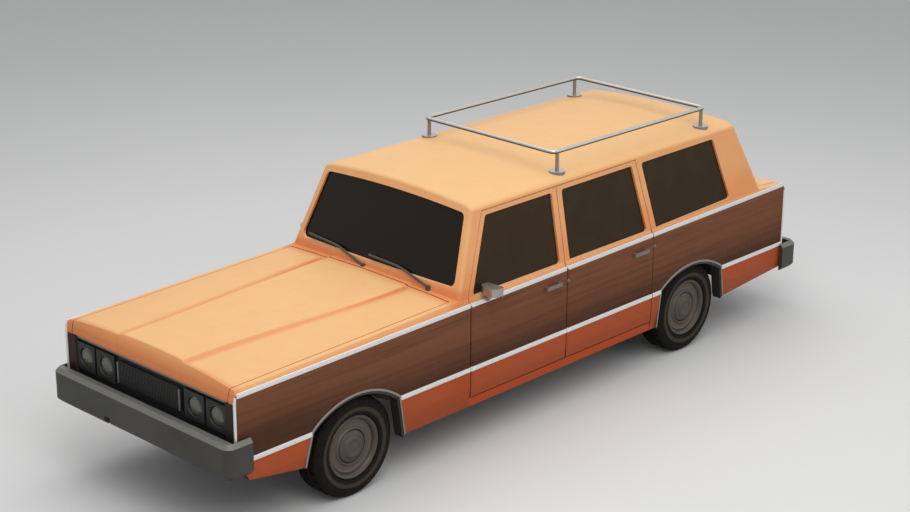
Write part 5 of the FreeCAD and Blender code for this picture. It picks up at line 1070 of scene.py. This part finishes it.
# Turned outlines of a wheel's trim: distance outboard of the tyre's middle, radius
RIM_RING = ((0.0845, 0.2035), (0.0885, 0.2045), (0.0925, 0.2015), (0.0905, 0.192), (0.080, 0.182),
            (0.070, 0.1765), (0.066, 0.1755), (0.062, 0.179), (0.072, 0.190))
RIM_COVER = ((0.0555, 0.1755), (0.0640, 0.1745), (0.0665, 0.168), (0.0600, 0.158), (0.0590, 0.140),
             (0.0620, 0.128), (0.0720, 0.122), (0.0745, 0.117), (0.0720, 0.112), (0.0640, 0.1085),
             (0.0555, 0.1085))
HUB_CAP = ((0.0605, 0.106), (0.0660, 0.1065), (0.0740, 0.101), (0.0790, 0.090), (0.0800, 0.080),
           (0.0860, 0.074), (0.0935, 0.066), (0.0960, 0.056), (0.0950, 0.046), (0.0915, 0.042),
           (0.0925, 0.030), (0.0945, 0.014), (0.0950, 0.0))


class WAGON_OT_wheel_covers(bpy.types.Operator):
    """A ring at each rim, a ribbed cover inside it and a domed cap at each hub"""

    bl_idname = "wagon.wheel_covers"
    bl_label = "Wheel covers"

    def execute(self, context):
        ring = turned("rim_ring_front_left", WHEEL_CENTRE, RIM_RING, 64, closed=True)
        cover = turned("rim_cover_front_left", WHEEL_CENTRE, RIM_COVER, 64, closed=True)
        cap = turned("hub_cap_front_left", WHEEL_CENTRE, HUB_CAP, 56, smooth=50)
        at_wheels(ring, "rim_ring", "wheel_ring_metal")
        at_wheels(cover, "rim_cover", "wheel_cover_metal")
        at_wheels(cap, "hub_cap", "wheel_ring_metal")
        return {"FINISHED"}


# Turned outline of a door handle's button: distance out, radius
BUTTON = ((0.0, 0.013), (0.004, 0.013), (0.006, 0.0115), (0.0065, 0.0085), (0.012, 0.0082), (0.0145, 0.0065),
          (0.015, 0.0))


class WAGON_OT_door_fittings(bpy.types.Operator):
    """Handle buttons on the doors and the glass in the mirrors"""

    bl_idname = "wagon.door_fittings"
    bl_label = "Door fittings"

    def execute(self, context):
        for door, y, z in (("front", 0.175, 0.9175), ("rear", 1.090, 0.9295)):
            button = turned("handle_button_%s_left" % door, (HALF - 0.001, y, z), BUTTON, 28, smooth=40)
            pair(button, "handle_metal", "door_%s_{}" % door)

        low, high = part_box("mirror_left")
        glass = block("mirror_glass_left", (HALF + 0.022, high.y - 0.0015, high.z - 0.078),
                      (high.x - 0.012, high.y + 0.0015, high.z - 0.008), 0.001, (BACKWARD, 0.003, 0.0006))
        pair(glass, "mirror_silver", "door_front_{}")
        return {"FINISHED"}


class WAGON_OT_tail_fittings(bpy.types.Operator):
    """The tailgate's handle, its bright frame and a blank plate"""

    bl_idname = "wagon.tail_fittings"
    bl_label = "Tail fittings"

    def execute(self, context):
        half, side_x, low_z, high_z = 0.64, 0.633, 0.632, 0.938
        strip_y, edge_y = TAIL_Y + 0.001, TAIL_Y - 0.007
        runs = {
            "low": ((-half, low_z), (half, low_z)),
            "high": ((-half, high_z), (half, high_z)),
            "left": ((side_x, low_z), (side_x, high_z)),
            "right": ((-side_x, low_z), (-side_x, high_z)),
        }
        for label, ends in runs.items():
            strip = strip_along("tail_strip_" + label, (0.014, 0.008), [(x, strip_y, z) for x, z in ends])
            dress(strip, "bright_metal", "tailgate")

        edge = strip_along("tail_edge_left", (0.012, 0.014),
                           [(HALF, edge_y, 0.580), (HALF, edge_y, SHOULDER_Z)])
        pair(edge, "bright_metal", "car_body")

        plate = block("blank_plate", (-0.152, TAIL_Y + 0.001, 0.700), (0.152, TAIL_Y + 0.006, 0.852), 0.001,
                      (BACKWARD, 0.007, -0.0012))
        dress(plate, "blank_plate_enamel", "tailgate")
        pull = block("tailgate_handle", (-0.110, TAIL_Y - 0.002, 0.884), (0.110, TAIL_Y + 0.018, 0.908),
                     0.004, (BACKWARD, 0.006, 0.003), segments=3)
        dress(pull, "bright_metal", "tailgate")
        return {"FINISHED"}


def cushion(name, low, high, waist=0.022):
    """A padded form: a rounded block, drawn in a little along its sides and remeshed."""
    clear_selection()
    low, high = Vector(low), Vector(high)
    middle, half = (low + high) / 2, (high - low) / 2
    bpy.ops.mesh.primitive_cube_add(size=1, location=middle)
    piece = named(name)
    piece.scale = high - low
    settle()
    edit()
    bpy.ops.mesh.subdivide(number_cuts=3)
    bpy.ops.object.mode_set(mode="OBJECT")
    for vertex in piece.data.vertices:
        share = [(vertex.co[k] - middle[k]) / half[k] for k in range(3)]
        for k in range(2):
            drawn_in = waist * (1 - share[1 - k] ** 2) * abs(share[k])
            vertex.co[k] = middle[k] + half[k] * share[k] * (1 - drawn_in)
    apply_modifier("BEVEL", width=0.035, segments=3, limit_method="ANGLE", angle_limit=math.radians(50))
    apply_modifier("REMESH", mode="VOXEL", voxel_size=0.018)
    return piece


def blow_up(piece, pressure=4.0, cap=0.012, frames=20):
    """Cloth with a little pressure, applied, and kept within a cap of where it started."""
    rest = [vertex.co.copy() for vertex in piece.data.vertices]
    bpy.context.view_layer.objects.active = piece
    bpy.ops.object.modifier_add(type="CLOTH")
    cloth = piece.modifiers[-1]
    cloth.settings.use_pressure = True
    cloth.settings.uniform_pressure_force = pressure
    cloth.settings.effector_weights.gravity = 0
    cloth.settings.quality = 4
    cloth.point_cache.frame_start = 1
    cloth.point_cache.frame_end = frames
    for number in range(1, frames + 1):
        bpy.context.scene.frame_set(number)
    bpy.ops.object.modifier_apply(modifier=cloth.name)
    bpy.context.scene.frame_set(1)
    for vertex, start in zip(piece.data.vertices, rest):
        move = vertex.co - start
        if move.length > cap:
            vertex.co = start + move * (cap / move.length)


def sew_channels(piece, top_only, half=0.54, count=9, depth=0.007, width=0.011):
    """Sewn channels pressed into a cushion's top or a back's front, side by side across its width."""
    pitch = 2 * half / count
    for vertex in piece.data.vertices:
        facing = vertex.normal.z if top_only else -vertex.normal.y
        if abs(vertex.co.x) >= half + 0.01 or facing < 0.3:
            continue
        phase = ((vertex.co.x + half) / pitch) % 1.0
        away = min(phase, 1 - phase) * pitch
        press = depth * math.exp(-(away / width) ** 2)
        vertex.co -= vertex.normal * press * min(1.0, (facing - 0.3) * 2)


class WAGON_OT_benches(bpy.types.Operator):
    """Padded leather benches in place of the plain seats"""

    bl_idname = "wagon.benches"
    bl_label = "Benches"

    def execute(self, context):
        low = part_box("front_seat")[0]
        half = 0.586
        base = cushion("front_bench_cushion", (-half, low.y + 0.012, low.z + 0.052),
                       (half, low.y + 0.462, low.z + 0.176))
        back = cushion("front_bench_back", (-half, low.y + 0.476, low.z + 0.150),
                       (half, low.y + 0.570, low.z + 0.676))
        lean, lean_z = 0.110 / 0.500, low.z + 0.19
        for vertex in back.data.vertices:
            vertex.co.y += max(0.0, vertex.co.z - lean_z) * lean
        for piece in (base, back):
            blow_up(piece)
            piece.data.update()
            take(piece)
            apply_modifier("SUBSURF", levels=1, render_levels=1)
            sew_channels(piece, top_only=piece is base)
            bpy.ops.object.shade_smooth()

        step = (0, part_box("rear_seat")[0].y - low.y, 0)
        rear = [copied(piece, piece.name.replace("front", "rear"), step) for piece in (base, back)]
        for row, cushions, y in (("front", (base, back), low.y), ("rear", rear, low.y + step[1])):
            for piece in cushions:
                dress(piece, "bench_leather", "car_body")
                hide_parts(row + "_seat")
            for side, way in SIDES:
                inner, outer = sorted((way * 0.140, way * 0.560))
                plinth = block("%s_bench_plinth_%s" % (row, side), (inner, y + 0.03, low.z + 0.001),
                               (outer, y + 0.54, low.z + 0.062), 0.006, (UPWARD, 0.01, 0.0))
                dress(plinth, "black_moulding", "car_body")
                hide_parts(row + "_seat")
        return {"FINISHED"}


def aim(heading, pitch, roll):
    """The turn of a camera that looks along a heading, pitched down and rolled."""
    level = math.cos(pitch)
    ahead = Vector((math.cos(heading) * level, math.sin(heading) * level, -math.sin(pitch)))
    right = ahead.cross(Vector(UPWARD)).normalized()
    up = right.cross(ahead)
    across = right * math.cos(roll) + up * math.sin(roll)
    above = up * math.cos(roll) - right * math.sin(roll)
    return Matrix((across, above, -ahead)).transposed().to_euler()


# Area lights: name, place, size, power and where each one points
LIGHTS = (
    ("key_light", (5.5, -4.5, 7.5), 6.0, 300, (0, 0, 0.8)),
    ("fill_light", (7.0, 5.0, 4.0), 6.0, 90, (0, 0, 0.8)),
    ("top_light", (-1.0, 0.5, 8.0), 8.0, 300, (0, 0, 0)),
)


class WAGON_OT_stage(bpy.types.Operator):
    """Floor, soft light and the camera"""

    bl_idname = "wagon.stage"
    bl_label = "Stage"

    def execute(self, context):
        stage = context.scene.wagon_stage
        clear_selection()
        bpy.ops.mesh.primitive_plane_add(size=90, location=(0, 0, 0))
        floor = named("floor")
        edit()
        bpy.ops.mesh.subdivide(number_cuts=4)
        bpy.ops.object.mode_set(mode="OBJECT")
        tree, shader = fresh("studio_floor")
        second = tuple(channel * 0.985 for channel in stage.floor_colour[:3]) + (1,)
        patches = cloudy(tree, 0.35, 3).graded(0.3, 0.7)
        put(shader.inputs["Base Color"], patches.blend(stage.floor_colour, second))
        shader.inputs["Roughness"].default_value = 0.9
        shader.inputs["Specular IOR Level"].default_value = 0.1
        give_finish(floor, "studio_floor")

        # The sky is dimmer as a light than it is to the eye
        context.scene.world = bpy.data.worlds.new("studio_sky")
        context.scene.world.use_nodes = True
        sky = context.scene.world.node_tree
        surface = sky.nodes["Background"]
        path = sky.nodes.new("ShaderNodeLightPath").outputs
        camera_ray, glossy, clear = (
            Field(sky, path["Is %s Ray" % kind]) for kind in ("Camera", "Glossy", "Transmission"))
        surface.inputs["Color"].default_value = (0.93, 0.94, 0.96, 1)
        seen = camera_ray.or_more(glossy.or_more(clear))
        put(surface.inputs["Strength"], seen.graded(0.0, 1.0, 0.42, 0.80, smooth=False))

        for name, place, size, power, target in LIGHTS:
            bpy.ops.object.light_add(type="AREA", location=place)
            lamp = bpy.context.object
            lamp.name = name
            lamp.data.size = size
            lamp.data.energy = power
            lamp.rotation_euler = (Vector(target) - Vector(place)).to_track_quat("-Z", "Y").to_euler()

        turn = aim(stage.heading, stage.pitch, stage.roll)
        bpy.ops.object.camera_add(location=stage.camera_place, rotation=turn)
        camera = bpy.context.object
        camera.name = "photo_camera"
        camera.data.sensor_width = 36
        camera.data.sensor_fit = "HORIZONTAL"
        camera.data.lens = stage.lens
        camera.data.clip_end = 200
        context.scene.camera = camera
        context.scene.view_settings.view_transform = "Standard"
        return {"FINISHED"}


class WAGON_PT_panel(bpy.types.Panel):
    """The wagon's steps and settings"""

    bl_label = "Station Wagon Looks"
    bl_idname = "WAGON_PT_panel"
    bl_space_type = "VIEW_3D"
    bl_region_type = "UI"
    bl_category = "Wagon"

    def draw(self, context):
        layout = self.layout
        for operator in OPERATORS:
            layout.operator(operator.bl_idname)
        for name, group in SETTINGS:
            box = layout.box()
            box.label(text=group.__doc__)
            for key in group.__annotations__:
                box.prop(getattr(context.scene, name), key)


OPERATORS = (
    WAGON_OT_finishes,
    WAGON_OT_side_strips,
    WAGON_OT_arch_lips,
    WAGON_OT_nose_trim,
    WAGON_OT_lamps,
    WAGON_OT_tyres,
    WAGON_OT_wheel_covers,
    WAGON_OT_door_fittings,
    WAGON_OT_tail_fittings,
    WAGON_OT_benches,
    WAGON_OT_stage,
)


def register():
    for name, group in SETTINGS:
        bpy.utils.register_class(group)
        setattr(bpy.types.Scene, name, bpy.props.PointerProperty(type=group))
    for operator in OPERATORS:
        bpy.utils.register_class(operator)
    bpy.utils.register_class(WAGON_PT_panel)


def unregister():
    bpy.utils.unregister_class(WAGON_PT_panel)
    for operator in reversed(OPERATORS):
        bpy.utils.unregister_class(operator)
    for name, group in reversed(SETTINGS):
        delattr(bpy.types.Scene, name)
        bpy.utils.unregister_class(group)


def main():
    register()
    bpy.ops.wagon.finishes()
    bpy.ops.wagon.side_strips()
    bpy.ops.wagon.arch_lips()
    bpy.ops.wagon.nose_trim()
    bpy.ops.wagon.lamps()
    bpy.ops.wagon.tyres()
    bpy.ops.wagon.wheel_covers()
    bpy.ops.wagon.door_fittings()
    bpy.ops.wagon.tail_fittings()
    bpy.ops.wagon.benches()
    bpy.ops.wagon.stage()


if __name__ == "__main__":
    main()
